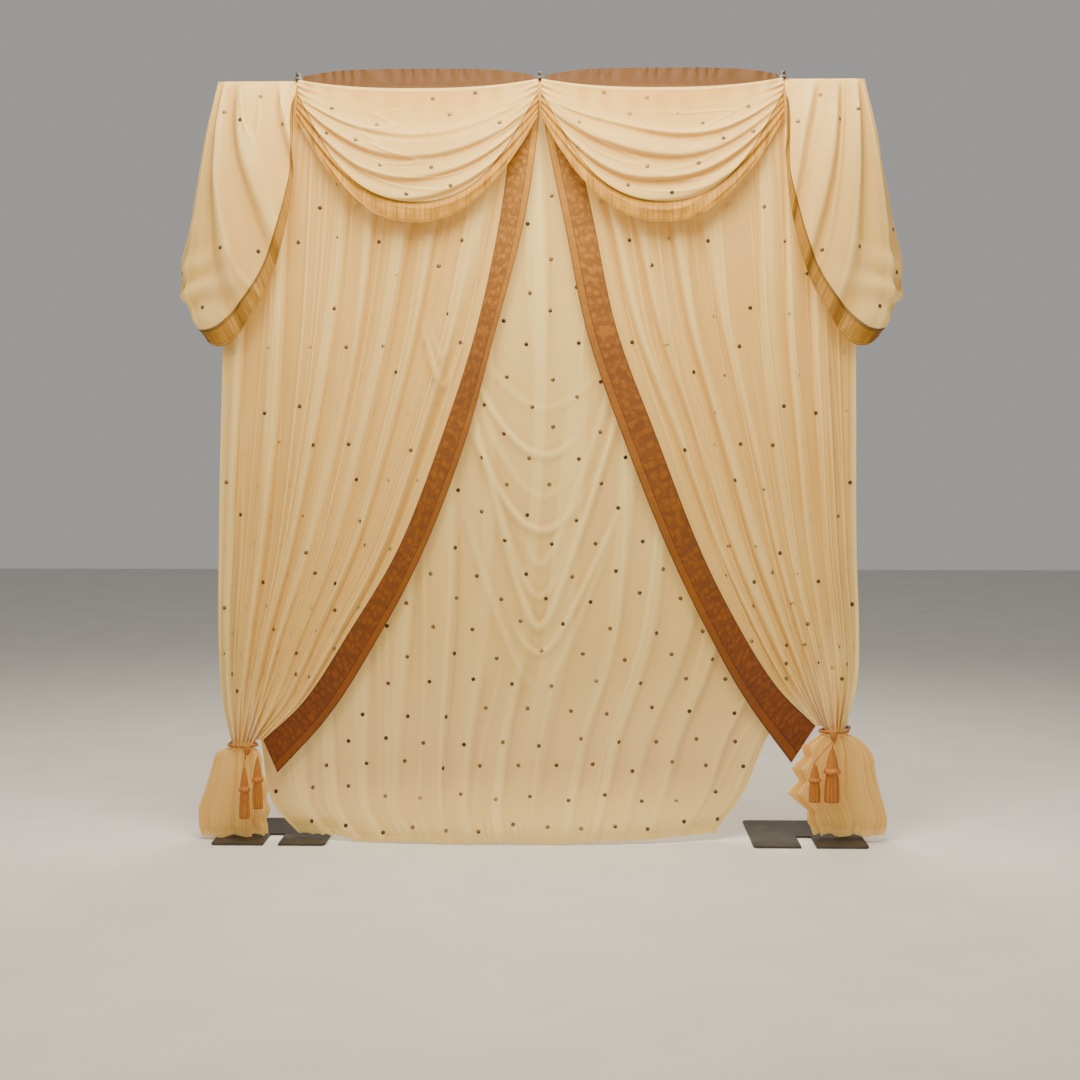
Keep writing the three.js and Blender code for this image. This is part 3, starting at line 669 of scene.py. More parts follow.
def brushed_metal(name, colour, metallic, rough_low, rough_high, wear):
    """Stand metal: long brush marks, scuffs, and dull patches."""
    s = Shader(name)
    marks = s.streaks("Object", (60.0, 60.0, 2.0))
    scuffs = s.noise("Object", 14.0, 8.0, 0.68)
    base = s.ramp(scuffs, (0.32, toned(colour, 1 - 0.6 * wear)), (0.52, colour),
                  (0.72, toned(colour, 1 + wear)))
    streak = s.ramp(marks, (0.3, (0.86, 0.86, 0.86)), (0.7, (1.06, 1.06, 1.06)))
    s.bump(marks, 0.12, SCRATCH_DEPTH)
    s.dress(Base_Color=s.blend(0.6, base, streak, "MULTIPLY"), Metallic=metallic,
            Roughness=s.spread(scuffs, rough_low, rough_high))
    return s.material


def sequin_finish(name, colour):
    """Dark bronze discs with brighter patches."""
    s = Shader(name)
    flecks = s.noise("Object", 45.0, 2.0)
    tones = s.ramp(flecks, (0.42, colour), (0.66, (0.3, 0.17, 0.06)), (0.75, (0.6, 0.45, 0.25)))
    s.dress(Base_Color=tones, Roughness=s.spread(flecks, 0.3, 0.5), Metallic=0.45)
    return s.material


def floor_finish(name):
    """Pale even floor with faint patches."""
    s = Shader(name)
    tones = s.ramp(s.noise("Object", 3.0, 2.0), (0.3, (0.6, 0.58, 0.55)), (0.7, (0.64, 0.62, 0.59)))
    s.dress(Base_Color=tones, Roughness=0.75)
    return s.material


# Settings

class ArchColours(bpy.types.PropertyGroup):
    """Colours of the arch."""

    cloth: bpy.props.FloatVectorProperty(
        name="Cloth", description="Colour of the sheer ivory cloth", subtype="COLOR", size=3,
        min=0, max=1, default=(0.82, 0.545, 0.16))
    # The strip's dark brown is painted shade on the cloth over the bar
    strip: bpy.props.FloatVectorProperty(
        name="Strip", description="Colour of the strip on the bar", subtype="COLOR", size=3,
        min=0, max=1, default=(0.11, 0.042, 0.005))
    border: bpy.props.FloatVectorProperty(
        name="Border", description="Main colour of the woven borders", subtype="COLOR", size=3,
        min=0, max=1, default=(0.23, 0.078, 0.005))
    border_dark: bpy.props.FloatVectorProperty(
        name="Border shade", description="Darkest thread of the borders", subtype="COLOR", size=3,
        min=0, max=1, default=(0.12, 0.036, 0.003))
    border_pale: bpy.props.FloatVectorProperty(
        name="Border light", description="Palest thread of the borders", subtype="COLOR", size=3,
        min=0, max=1, default=(0.27, 0.098, 0.007))
    hem: bpy.props.FloatVectorProperty(
        name="Swag hem", description="Colour of the bands along the swags", subtype="COLOR",
        size=3, min=0, max=1, default=(0.4, 0.185, 0.009))
    cord: bpy.props.FloatVectorProperty(
        name="Cord", description="Colour of ropes and tassels", subtype="COLOR", size=3,
        min=0, max=1, default=(0.44, 0.15, 0.012))
    sequin: bpy.props.FloatVectorProperty(
        name="Sequin", description="Colour of the sewn discs", subtype="COLOR", size=3,
        min=0, max=1, default=(0.05, 0.025, 0.012))
    steel: bpy.props.FloatVectorProperty(
        name="Steel", description="Colour of plates and fittings", subtype="COLOR", size=3,
        min=0, max=1, default=(0.06, 0.052, 0.04))
    tube: bpy.props.FloatVectorProperty(
        name="Tube", description="Colour of the aluminium tubes", subtype="COLOR", size=3,
        min=0, max=1, default=(0.62, 0.6, 0.56))
    clip: bpy.props.FloatVectorProperty(
        name="Clip", description="Colour of the pins on the bar", subtype="COLOR", size=3,
        min=0, max=1, default=(0.06, 0.04, 0.03))


class ArchSizes(bpy.types.PropertyGroup):
    """Sizes and shares that shape the cloth and trim."""

    sheerness: bpy.props.FloatProperty(
        name="Sheerness", description="Share of light that passes the cloth unchanged",
        subtype="FACTOR", min=0, max=0.6, default=0.14)
    glow: bpy.props.FloatProperty(
        name="Glow", description="Share of light that the cloth scatters through itself",
        subtype="FACTOR", min=0, max=0.8, default=0.3)
    sequin_radius: bpy.props.FloatProperty(
        name="Sequin radius", description="Radius of a sewn disc", subtype="DISTANCE",
        unit="LENGTH", min=0.002, max=0.02, default=0.0085)
    sequin_column: bpy.props.FloatProperty(
        name="Column spacing", description="Distance between columns of discs", subtype="DISTANCE",
        unit="LENGTH", min=0.05, max=0.5, default=0.092)
    sequin_row: bpy.props.FloatProperty(
        name="Row spacing", description="Distance between discs in a column", subtype="DISTANCE",
        unit="LENGTH", min=0.05, max=0.5, default=0.206)
    rope_radius: bpy.props.FloatProperty(
        name="Rope radius", description="Radius of the tie ropes", subtype="DISTANCE",
        unit="LENGTH", min=0.003, max=0.02, default=0.0066)


def finish(name):
    """A finish by name, made the first time that it is asked for."""
    if name in bpy.data.materials:
        return bpy.data.materials[name]
    c = bpy.context.scene.arch_colours
    s = bpy.context.scene.arch_sizes
    makers = {
        "sheer ivory": lambda: sheer_cloth(name, c.cloth, 1 - s.sheerness, s.glow),
        # The tails take a paler copy of the cloth colour, as painted light
        "sheer tail": lambda: sheer_cloth(name, toned(c.cloth, 1.12), 0.74, 0.45),
        # The bar strip is cloth painted dark brown as painted shade, and lets little light through
        "bar strip painted shade": lambda: sheer_cloth(name, c.strip, 0.97, 0.04),
        "curtain border": lambda: brocade(name, c.border, c.border_dark, c.border_pale,
                                          BORDER_CUT[0], "X", 0.035, 0.76, True),
        "swag border": lambda: brocade(name, c.hem, toned(c.hem, 0.4), toned(c.hem, 1.15),
                                       SWAG_HEM_CUT[1], "Y", 0.1, 0.93, False),
        "side border": lambda: brocade(name, toned(c.hem, 0.75), toned(c.hem, 0.32), c.hem,
                                       SIDE_HEM_CUT[1], "Y", 0.16, 0.9, False),
        "gold thread": lambda: thread_gold(name, c.cord, 50.0, "X"),
        "gold rope": lambda: thread_gold(name, toned(c.cord, 0.8), 40.0, "DIAGONAL"),
        "sequin": lambda: sequin_finish(name, c.sequin),
        "plate steel": lambda: brushed_metal(name, c.steel, 0.55, 0.42, 0.7, 0.5),
        "tube aluminium": lambda: brushed_metal(name, c.tube, 0.9, 0.28, 0.5, 0.15),
        "dark clip": lambda: brushed_metal(name, c.clip, 0.3, 0.35, 0.6, 0.3),
        "pale floor": lambda: floor_finish(name),
    }
    return makers[name]()


# Pieces

def add_object(name, data):
    thing = bpy.data.objects.new(name, data)
    bpy.context.scene.collection.objects.link(thing)
    return thing


def add_mesh(name, fill, look):
    """A mesh object from a function that fills a bmesh, in a finish."""
    mesh = bpy.data.meshes.new(name)
    bm = bmesh.new()
    fill(bm)
    bm.to_mesh(mesh)
    bm.free()
    mesh.materials.append(finish(look))
    return add_object(name, mesh)


def add_piece(name, fill, look, *nodes):
    """A smooth piece that rides on the stand and takes the place of some nodes."""
    piece = add_mesh(name, fill, look)
    for face in piece.data.polygons:
        face.use_smooth = True
    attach(piece, "root")
    if nodes:
        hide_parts(*nodes)
    return piece


def add_cloth(name, node, grid, place, size, look, **options):
    """A cloth of so many faces across and down, bent onto place(u, v), in place of a node."""
    return add_piece(name, lambda bm: fill_cloth(bm, *grid, place, size, **options), look, node)


def add_sequins(name, place, size, skip, hidden=0.0, front=1):
    """Sequins over a cloth of a cut size; skip(u, v) leaves out spots that aren't cloth."""
    s = bpy.context.scene.arch_sizes
    spots = [spot for spot in lattice(*size, s.sequin_column, s.sequin_row) if not skip(*spot)]
    return add_piece(name, lambda bm: fill_sequins(bm, place, spots, s.sequin_radius, front,
                                                   hidden), "sequin")


# Cloth surfaces. Each gives the point of a cloth at the shares u across and v down

def freely(z):
    """How freely a cloth hangs at a height: 0 on the bar, 1 from 0.25 m below it."""
    return smooth(BAR_Z, BAR_Z - 0.25, z)


@lru_cache(maxsize=None)
def drape_edges(z):
    return curve_value(DRAPE_LEFT, z), curve_value(DRAPE_RIGHT, z)


def drape_warp(u, z):
    """Turns of the back drape's pleats at a fraction of its width and a height."""
    return u * DRAPE_TURNS + 0.9 * wander(u * 4, z * 0.35, 1.0) + 0.3 * wander(u * 13, z * 0.5, 3.0)


def cowl(off, rise, steep, bend, width):
    """A hanging fold's crest, off its middle and at a rise above its lowest point: 0 to 1."""
    reach = math.hypot(off, bend)
    slope = steep * off / reach
    away = (rise - steep * (reach - bend)) / math.hypot(1, slope) / width
    return math.exp(-away * away) if abs(away) < 3 else 0.0


def cowl_folds(off, z):
    """How far the back drape's nested cowls stand out, off their middle at a height."""
    stir = 0.012 * wander(off * 3, z * 2, 5.0)
    total = 0.0
    for level, steep, bend, width, height, lean in COWLS:
        crest = cowl(off, z + stir - level, steep, bend, width)
        total += height * crest * clamp(1 + lean * off / 0.15)
    return total


def drape_pale(u, v):
    return 0.7 * doubled(drape_warp(u, mix(BAR_Z, DRAPE_LEFT[-1][0], v)), 2 - 2 * v, 4.0)


def drape_point(u, v):
    """The back drape, u from left to right and v from its back flap over the bar to the hem."""
    over = 0.05
    start_x = mix(DRAPE_LEFT[0][1], DRAPE_RIGHT[0][1], u)
    if v < over / 2:
        return Vector((start_x, DRAPE_RADIUS, BAR_Z - DRAPE_FLAP * (1 - 2 * v / over)))
    if v < over:
        return round_bar(start_x, DRAPE_RADIUS, 360 * (v - over / 2) / over)
    hang = (v - over) / (1 - over)
    z = mix(BAR_Z, mix(0.02, 0.003, smooth(0.1, 0.16, u)), hang)
    x = mix(*drape_edges(z), u)
    fall = freely(z)
    low = smooth(0.3, 0.06, z)
    warp = drape_warp(u, z)
    size = 0.7 + 0.6 * wander(u * 7, z * 0.5, 8.0)
    pleats = DRAPE_FOLD * size * lap(warp) + 0.004 * strand(u * 16, z * 0.55, 12.0)
    off = x - 0.012 + 0.015 * math.sin(2.2 * z)
    inside = smooth(0.55, 0.75, z) * smooth(2.1, 1.75, z) * smooth(0.34, 0.24, abs(off))
    folds = fall * pleats * (1 - 0.6 * low) * (1 - 0.85 * inside)
    if inside:
        folds += cowl_folds(off, z) * inside
    edge = abs(2 * u - 1)
    forward = (0.05 + 0.1 * (1 - edge ** 3)) * smooth(0.32, 0.02, z) ** 1.6
    lift = 0.022 * smooth(0.6, 1, u) * smooth(0.2, 0.02, z)
    hem = (0.009 * smooth(0.12, 0.02, z) * (0.6 + wander(u * 9, 0, 6.0))
           * math.sin(TURN * (u * 21 + 1.6 * wander(u * 6, 0, 2))))
    forward += DRAPE_RADIUS + DRAPE_STAND * fall + folds
    return Vector((x, -forward, z + lift + abs(hem)))


def curtain_warp(s, hang, seed):
    """Turns of a front curtain's folds across its width, at a share of its height."""
    return (s * CURTAIN_TURNS + 0.9 * wander(s * 2.6, hang * 1.1, seed)
            + 0.3 * wander(s * 8, hang * 1.8, seed + 3))


def curtain_maker(arm):
    """A front curtain: u 0 at its outer edge, 1 at the border and 2 at the free edge."""
    edge = numbered(arm["edge"])
    border = numbered(arm["border"])
    inner = numbered(arm["inner"])
    last = len(arm["edge"]) - 1
    seed = arm["seed"]
    over = 0.02

    @lru_cache(maxsize=None)
    def rails(hang):
        return [curve_value(line, hang * last) for line in (*edge, *border, *inner)]

    def point(u, v):
        hang = clamp((v - over) / (1 - over))
        edge_x, edge_z, border_x, border_z, inner_x, inner_z = rails(hang)
        s = min(1.0, u)
        beyond = max(0.0, u - 1)
        x = mix(mix(edge_x, border_x, s), inner_x, beyond)
        z = mix(mix(edge_z, border_z, smooth(0.66, 0.78, s)), inner_z, beyond)
        if v < over:
            return round_bar(arm["side"] * x, CURTAIN_RADIUS, 120 + 60 * v / over)
        gathered = smooth(0.8, 1.0, hang)
        fall = freely(z)
        flat = smooth(1.0, 0.93, s)
        size = 0.7 + 0.75 * wander(s * 5, hang * 2.0, seed + 9)
        folds = CURTAIN_FOLD * size * lap(curtain_warp(s, hang, seed))
        folds += 0.005 * strand(s * 9, hang * 1.1, seed + 20)
        folds += 0.0025 * strand(s * 21, hang * 1.6, seed + 30, 5.0)
        folds += (0.003 * smooth(0.28, 0.0, hang)
                  * math.cos(TURN * (30 * s + 2 * wander(s * 6, hang * 2, seed))))
        turns = s * GATHERED_TURNS + 1.1 * wander(s * 4, hang * 2, seed + 6)
        hollow = math.sqrt(max(0.0, 1 - (2 * clamp(s / 0.75) - 1) ** 2))
        tight = (0.004 + 0.013 * hollow) * lap(turns)
        depth = fall * flat * mix(folds, tight, gathered)
        belly = CURTAIN_BELLY * fall * math.sin(math.pi * s) * (1 - gathered)
        if "droop" in arm:
            off, rise = x - arm["droop"][0], z - arm["droop"][1]
            edge_fade = smooth(1.0, 0.985, s) * smooth(0.34, 0.04, rise)
            for above, height in ((0.0, 0.01), (0.11, 0.006)):
                depth += height * edge_fade * cowl(off, rise - above, 4.8, 0.035, 0.015)
        forward = CURTAIN_RADIUS + CURTAIN_STAND * fall + belly + depth
        return Vector((arm["side"] * x, -forward, z))

    return point


def swag_maker(side, wide):
    """A centre swag: u from the middle of the bar to its outer pin, v from its top to the hem."""

    def point(u, v):
        x = side * mix(0.006, wide - 0.003, u)
        across = abs(2 * u - 1)
        belly = 1 - across ** 4
        top = SWAG_TOP - SWAG_DROOP * (1 - across ** 2.5)
        z = mix(top, BAR_Z, v) - SWAG_SIDE_DROP * v
        z -= SWAG_ROUND_DROP * v ** 1.15 * (1 - across ** 2.2)
        window = smooth(0.22, 0.42, v) * smooth(0.97, 0.86, v)
        turns = SWAG_TURNS * v ** 1.3 + 0.5 * wander(u * 1.8, v * 2.5, side * 4.0)
        loose = 0.6 + 0.8 * wander(u * 1.3, v * 6, side * 9.0)
        folds = SWAG_FOLD * loose * (0.3 + 0.7 * belly) * window * lap(turns)
        fine = 0.004 * smooth(0.1, 0.3, v) * strand(u * 1.5, v * 8, side * 5.0)
        flutes = 0.003 * math.cos(TURN * (9 * u + wander(u * 3, 0, 2.0)))
        gather = 0.006 * across ** 8 * math.cos(TURN * 7 * v)
        ripple = 0.004 * smooth(0.85, 1, v) * math.sin(TURN * (13 * u + wander(u * 4, 1, 3)))
        rise = smooth(0, 0.12, v)
        depth = (SWAG_DEPTH + 0.004 * (1 - across ** 2) + SWAG_STAND * v
                 + SWAG_BELLY * belly * min(1, 2.2 * v))
        depth += rise * (folds + fine + flutes * smooth(0.4, 0.1, v) + gather + ripple)
        return Vector((x, -depth, z))

    return point


def parted(place, top, gap):
    """A cloth and its hem as two surfaces, with a gap below v = top(u)."""

    def upper(u, v):
        return place(u, v * top(u))

    def lower(u, v):
        return place(u, mix(top(u) + gap, 1, v))

    return upper, lower


def swag_border_top(u):
    return 0.86 - 0.5 * abs(2 * u - 1) ** 6


def side_border_top(u):
    return 0.93 - 0.07 * smooth(0.4, 0.12, u) - 0.36 * smooth(0.16, 0, u)


def side_warp(u, v, side):
    """Turns of a side swag's folds round its loop, at a share of its height."""
    return u * SIDE_TURNS + 0.9 * wander(u * 3, v * 1.3, 6.0 + side)


def side_swag_maker(side):
    """A side swag: u from the front pin round the bar's end to the back, v from bar to hem."""
    curves = [numbered(row) for row in SIDE_LOOP]
    last = len(SIDE_LOOP[0]) - 1
    rows = len(SIDE_LOOP) - 1

    @lru_cache(maxsize=None)
    def column(u):
        return [[(i, curve_value(row[k], u * last)) for i, row in enumerate(curves)]
                for k in range(3)]

    def smooth_point(u, v):
        return Vector([curve_value(line, v * rows) for line in column(u)])

    def point(u, v):
        spot = smooth_point(u, v)
        step = 0.004
        along = smooth_point(min(1, u + step), v) - smooth_point(max(0, u - step), v)
        down = smooth_point(u, min(1, v + step)) - smooth_point(u, max(0, v - step))
        normal = along.cross(down)
        if normal.length > 1e-12:
            normal.normalize()
            fall = smooth(0.04, 0.4, v) * smooth(0, 0.08, u) * smooth(1, 0.94, u)
            folds = SIDE_FOLD * lap(side_warp(u, v, side)) + 0.004 * strand(u * 9, v * 0.9, side)
            crush = smooth(0.55, 0.85, v) * smooth(1.0, 0.92, v) * smooth(0.35, 0.6, u)
            bunches = v * 6 + 1.5 * wander(u * 4, v * 4, 2.0)
            folds += CRUSH_FOLD * crush * math.sin(TURN * bunches)
            sleeve = smooth(0.05, 0.08, v) * smooth(0.2, 0.12, v) * smooth(0, 0.08, u)
            pinches = v * 28 + wander(u * 3, v * 5, 7.0)
            folds += 0.003 * sleeve * math.cos(TURN * pinches)
            spot -= normal * fall * folds
        return Vector((side * spot.x, spot.y, spot.z))

    return point


def tail_maker(arm):
    """The flared tail under a tie: u round it and v from the tie to the hem."""
    rings = numbered(arm["tail"])
    last = len(arm["tail"]) - 1
    side = arm["side"]
    count = arm["flutes"]
    seed = arm["seed"]

    @lru_cache(maxsize=None)
    def ring(v):
        return [curve_value(line, v * last) for line in rings]

    def point(u, v):
        z, x, half_x, depth, half_y = ring(v)
        angle = TURN * u
        around = (math.cos(angle), math.sin(angle))
        stir = wander(around[0] * 1.3, around[1] * 1.3, seed + v * 0.5)
        turns = count * u + 0.35 * stir + 0.12 * v
        grow = smooth(0.0, 0.3, v)
        size = 0.75 + 0.5 * wander(around[0] * 2, around[1] * 2, seed + 5)
        dent = (0.06 + 0.2 * grow) * size * (1 - 0.5 * (1 + lap(turns)))
        phase = TURN * turns
        frill = smooth(0.82, 1.0, v) * 0.03 * math.sin(3 * phase + stir * 5)
        reach = 1 - dent + frill
        reach += 0.05 * grow * strand(around[0] * 3.2, around[1] * 3.2, seed + v * 0.6, 6.0)
        reach -= 0.03 * grow * strand(around[0] * 5, around[1] * 5, seed + 8 + v, 6.0)
        inward = smooth(-0.55, -0.9, around[0]) * smooth(0.2, 0.35, v) * smooth(0.95, 0.8, v)
        zigzag = abs((v * 5.5) % 1 - 0.5) * 4 - 1
        reach += 0.13 * arm["ruffle"] * inward * zigzag
        drop = 0.006 * smooth(0.75, 1, v) * math.cos(phase) + 0.004 * smooth(0.9, 1, v) * stir
        return Vector((side * (x + half_x * reach * around[0]), -depth + half_y * reach * around[1],
                       z + drop))

    return point


def strip_maker(side, inner, outer):
    """The strip in front of the bar: v 0 at its top edge, 1 behind the swag's top edge."""

    def point(u, v):
        x = side * mix(inner, outer, u)
        pinch = 1 - 0.45 * abs(2 * u - 1) ** 4
        top = BAR_Z + (STRIP_HIGH[2] - 0.001 - BAR_Z) * pinch
        z = mix(top, STRIP_LOW[2] + 0.002, v)
        turns = STRIP_TUCKS * u + 1.2 * wander(u * 6, 0, 4.0 + side)
        tuck = math.sin(TURN * turns)
        free = smooth(BAR_Z + 0.01, STRIP_HIGH[2], z)
        y = -STRIP_DEPTH - 0.15 * max(0.0, BAR_Z - z) + (0.0008 + 0.0035 * free) * tuck
        return Vector((x, y, z + 0.0015 * tuck * free))

    return point


# Ropes, knots, tassels and pins

def catmull(points, steps):
    """Points along a smooth curve through a few points."""
    columns = numbered([tuple(point) for point in points])
    last = len(points) - 1
    return [Vector(curve_value(column, last * i / steps) for column in columns)
            for i in range(steps + 1)]


def carve(bm, centre, factor):
    """Moves each point out from an upright axis by factor(angle, height)."""
    for vert in bm.verts:
        off_x = vert.co.x - centre[0]
        off_y = vert.co.y - centre[1]
        share = factor(math.atan2(off_y, off_x), vert.co.z)
        vert.co.x = centre[0] + off_x * share
        vert.co.y = centre[1] + off_y * share


def rope_path(arm, turn):
    """The middle of the tie rope round the upright and the gathered cloth, and its way out."""
    clear = ROPE_SPACE + 0.00035
    tie_x, tie_z = arm["tie"]
    ovals = ((arm["side"] * POST_X, 0.0, POST_RADIUS + clear, POST_RADIUS + clear),
             (tie_x, NECK_Y, NECK_HALF + 0.008 + clear, NECK_DEEP + 0.005 + clear))
    way = (math.cos(turn), math.sin(turn))
    spots = []
    for x, y, a, b in ovals:
        support = math.hypot(a * way[0], b * way[1])
        spot = Vector((x + a * a * way[0] / support, y + b * b * way[1] / support, tie_z))
        spots.append((x * way[0] + y * way[1] + support, spot))
    return max(spots, key=lambda pair: pair[0])[1], Vector((*way, 0))


def tie_rope(name, arm):
    radius = bpy.context.scene.arch_sizes.rope_radius

    def place(u, v):
        centre, outward = rope_path(arm, TURN * v)
        angle = TURN * u
        lobes = 0.78 + 0.22 * abs(math.sin(1.5 * angle + TURN * ROPE_TWISTS * v))
        return (centre + outward * radius * lobes * math.cos(angle)
                + Vector((0, 0, radius * lobes * math.sin(angle))))

    add_cloth(f"rope_{name}", f"tie_rope_{name}", (20, 200), place, (0.045, 0.5), "gold rope",
              front=-1, closed=True)


def tie_knot(name, arm):
    x, bottom, depth = arm["knot"]
    centre = (arm["side"] * x, -depth)

    def groove(angle, z):
        return 0.94 + 0.06 * abs(math.cos(8 * angle + 6 * (z - bottom) / KNOT_HEIGHT))

    def fill(bm):
        turned(bm, [(radius, bottom + z) for radius, z in KNOT_PROFILE], 48, centre)
        carve(bm, centre, groove)

    add_piece(f"knot_{name}", fill, "gold thread", f"tie_knot_{name}")


def hang_tassel(name, arm, number, spot):
    """A tassel of threads, and the cord that it hangs on."""
    x, top, depth, height, wide = spot
    side = arm["side"]
    centre = (side * x, -depth)

    def threads(angle, z):
        share = (z - top) / height
        skirt = smooth(-0.46, -0.56, share)
        collar = smooth(-0.48, -0.45, share) * smooth(-0.37, -0.4, share)
        stir = wander(math.cos(angle) * 2.4, math.sin(angle) * 2.4, number + arm["seed"])
        clump = 1 - 0.08 * (1 + stir) * smooth(-0.6, -1, share)
        strands = 0.94 + 0.06 * math.cos(22 * angle + 2 * share)
        ribs = 0.97 + 0.03 * math.cos(20 * angle + 9 * share)
        scallop = 0.9 + 0.1 * abs(math.cos(6 * angle))
        return mix(mix(ribs, strands * clump, skirt), scallop, collar)

    def fill(bm):
        turned(bm, [(wide * radius, top + height * z) for radius, z in TASSEL_PROFILE], 120, centre)
        carve(bm, centre, threads)

    tassel = add_piece(f"tassel_skirt_{name}_{number}", fill, "gold thread",
                       f"tassel_{name}_{number}")

    knot_x, knot_bottom, knot_depth = arm["knot"]
    shift = 0.005 if x > sum(other[0] for other in arm["tassels"]) / 2 else -0.005
    start = Vector((side * (knot_x + shift), -knot_depth, knot_bottom - CORD_GAP))
    route = [start, start - Vector((0, 0, 0.0077)),
             Vector((*centre, top + 0.01)), Vector((*centre, top + CORD_GAP))]
    core = [route[-1] - Vector((0, 0, 0.5 * height * i / 8)) for i in range(1, 9)]
    middle = catmull(route, 24) + core

    def place(u, v):
        along = v * (len(middle) - 1)
        i = min(len(middle) - 2, int(along))
        angle = TURN * u
        lobes = 0.82 + 0.18 * abs(math.sin(1.5 * angle + 40 * v))
        out = Vector((math.cos(angle), math.sin(angle), 0)) * CORD_WIDTH / 2 * lobes
        return middle[i].lerp(middle[i + 1], along - i) + out

    cord = add_cloth(f"cord_{name}_{number}", f"tassel_cord_{name}_{number}", (12, 48), place,
                     (0.02, 0.1), "gold rope", closed=True)
    length = sum((b - a).length for a, b in zip(middle, middle[1:]))
    [tuple(point) for point in middle]


def fill_pin(bm, low, high):
    """A clip in the box of its node: a bevelled body that tapers upwards, and two round grips."""
    middle = (low + high) / 2
    bmesh.ops.create_cube(bm, size=1)
    body = bm.verts[:]
    bmesh.ops.scale(bm, vec=(high.x - low.x, high.y - low.y - 0.002, CLIP_BODY), verts=body)
    bmesh.ops.translate(bm, vec=(middle.x, middle.y, low.z + CLIP_BODY / 2 + 0.0005), verts=body)
    top = [vert for vert in body if vert.co.z > low.z + CLIP_BODY / 2]
    bmesh.ops.scale(bm, vec=(0.7, 0.5, 1), verts=top, space=Matrix.Translation(-middle))
    bmesh.ops.bevel(bm, geom=bm.edges[:], offset=0.002, affect="EDGES", segments=3, profile=0.5,
                    material=-1)
    for reach in (-0.009, 0.009):
        seat = (Matrix.Translation((middle.x, middle.y + reach, low.z + 0.022))
                @ Matrix.Rotation(math.pi / 2, 4, "Y"))
        bmesh.ops.create_cone(bm, cap_ends=True, segments=14, radius1=CLIP_GRIP,
                              radius2=CLIP_GRIP, depth=0.012, matrix=seat)


# Operators

class ARCH_OT_stage(bpy.types.Operator):
    """Lay the floor, hang the lights and set the camera"""

    bl_idname = "arch.stage"
    bl_label = "Stage"

    def execute(self, context):
        def fill_floor(bm):
            bmesh.ops.create_grid(bm, x_segments=2, y_segments=2, size=FLOOR_HALF)

        add_mesh("floor", fill_floor, "pale floor")
        for name, place, aim_z, width, power, colour in LAMPS:
            lamp = bpy.data.lights.new(name, "AREA")
            lamp.size = width
            lamp.energy = power
            lamp.color = colour
            holder = add_object(name, lamp)
            holder.location = place
            aim = Vector((0, 0, aim_z)) - Vector(place)
            holder.rotation_euler = aim.to_track_quat("-Z", "Y").to_euler()

        world = bpy.data.worlds.new("studio")
        world.use_nodes = True
        sky = world.node_tree.nodes["Background"]
        sky.inputs["Color"].default_value = tint(SKY_COLOUR)
        sky.inputs["Strength"].default_value = SKY_STRENGTH
        context.scene.world = world

        lens = bpy.data.cameras.new("camera")
        lens.lens = LENS_MM
        lens.sensor_width = SENSOR_MM
        camera = add_object("camera", lens)
        camera.location = CAMERA_PLACE
        pitch = math.atan(HORIZON_PX / FOCUS_PX)
        turn = math.atan(-CAMERA_PLACE[0] / CAMERA_PLACE[1])
        camera.rotation_euler = (math.pi / 2 - pitch, 0, turn)
        context.scene.camera = camera
        return {"FINISHED"}


class ARCH_OT_ropes(bpy.types.Operator):
    """Tie the curtains back with twisted ropes, knots and tassels"""

    bl_idname = "arch.ropes"
    bl_label = "Ropes and tassels"

    def execute(self, context):
        for name, arm in ARMS.items():
            tie_rope(name, arm)
            tie_knot(name, arm)
            for number, spot in enumerate(arm["tassels"], start=1):
                hang_tassel(name, arm, number, spot)
        return {"FINISHED"}


class ARCH_OT_metal(bpy.types.Operator):
    """Give the plates, uprights, crossbar and fittings their metal finishes"""

    bl_idname = "arch.metal"
    bl_label = "Metal frame"

    def execute(self, context):
        for name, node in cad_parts.items():
            if name.startswith(("base_", "upright_collar", "upright_head", "crossbar_hook")):
                metal = finish("plate steel")
            elif name.startswith(("upright_", "crossbar_")):
                metal = finish("tube aluminium")
            else:
                continue
            for material_slot in node.material_slots:
                material_slot.material = metal
        return {"FINISHED"}


class ARCH_OT_back_drape(bpy.types.Operator):
    """Hang the full-width back drape with its nested folds"""

    bl_idname = "arch.back_drape"
    bl_label = "Back drape"

    def execute(self, context):
        drape = add_cloth("drape_back", "back_drape", (350, 280), drape_point, DRAPE_CUT,
                          "sheer ivory", hems="lrb", pale=drape_pale)
        sequins = add_sequins("sequins_back", drape_point, DRAPE_SPREAD, lambda u, v: v < 0.08)
        return {"FINISHED"}


class ARCH_OT_front_curtains(bpy.types.Operator):
    """Hang the two tied-back curtains and sew on their borders"""

    bl_idname = "arch.front_curtains"
    bl_label = "Front curtains"

    def execute(self, context):
        for name, arm in ARMS.items():
            front = -arm["side"]
            place = curtain_maker(arm)

            def pale(u, v, seed=arm["seed"]):
                return doubled(curtain_warp(u, v, seed), 3 * v, seed) * smooth(0.99, 0.93, u)

            def strip(u, v, place=place):
                return place(mix(1.002, 2, u), mix(0.06, 1, v))

            curtain = add_cloth(f"curtain_{name}", f"front_curtain_{name}", (290, 250), place,
                                CURTAIN_CUT, "sheer ivory", front=front, hems="l", pale=pale,
                                calm=lambda u, v: 0.6 * smooth(0.72, 0.95, v))
            sequins = add_sequins(f"sequins_curtain_{name}", place, CURTAIN_SPREAD,
                                  lambda u, v: v < 0.1 or v > 0.86, 0.7, front)
            band = add_cloth(f"border_{name}", f"curtain_border_{name}", (16, 260), strip,
                             BORDER_CUT, "curtain border", front=front)
        return {"FINISHED"}


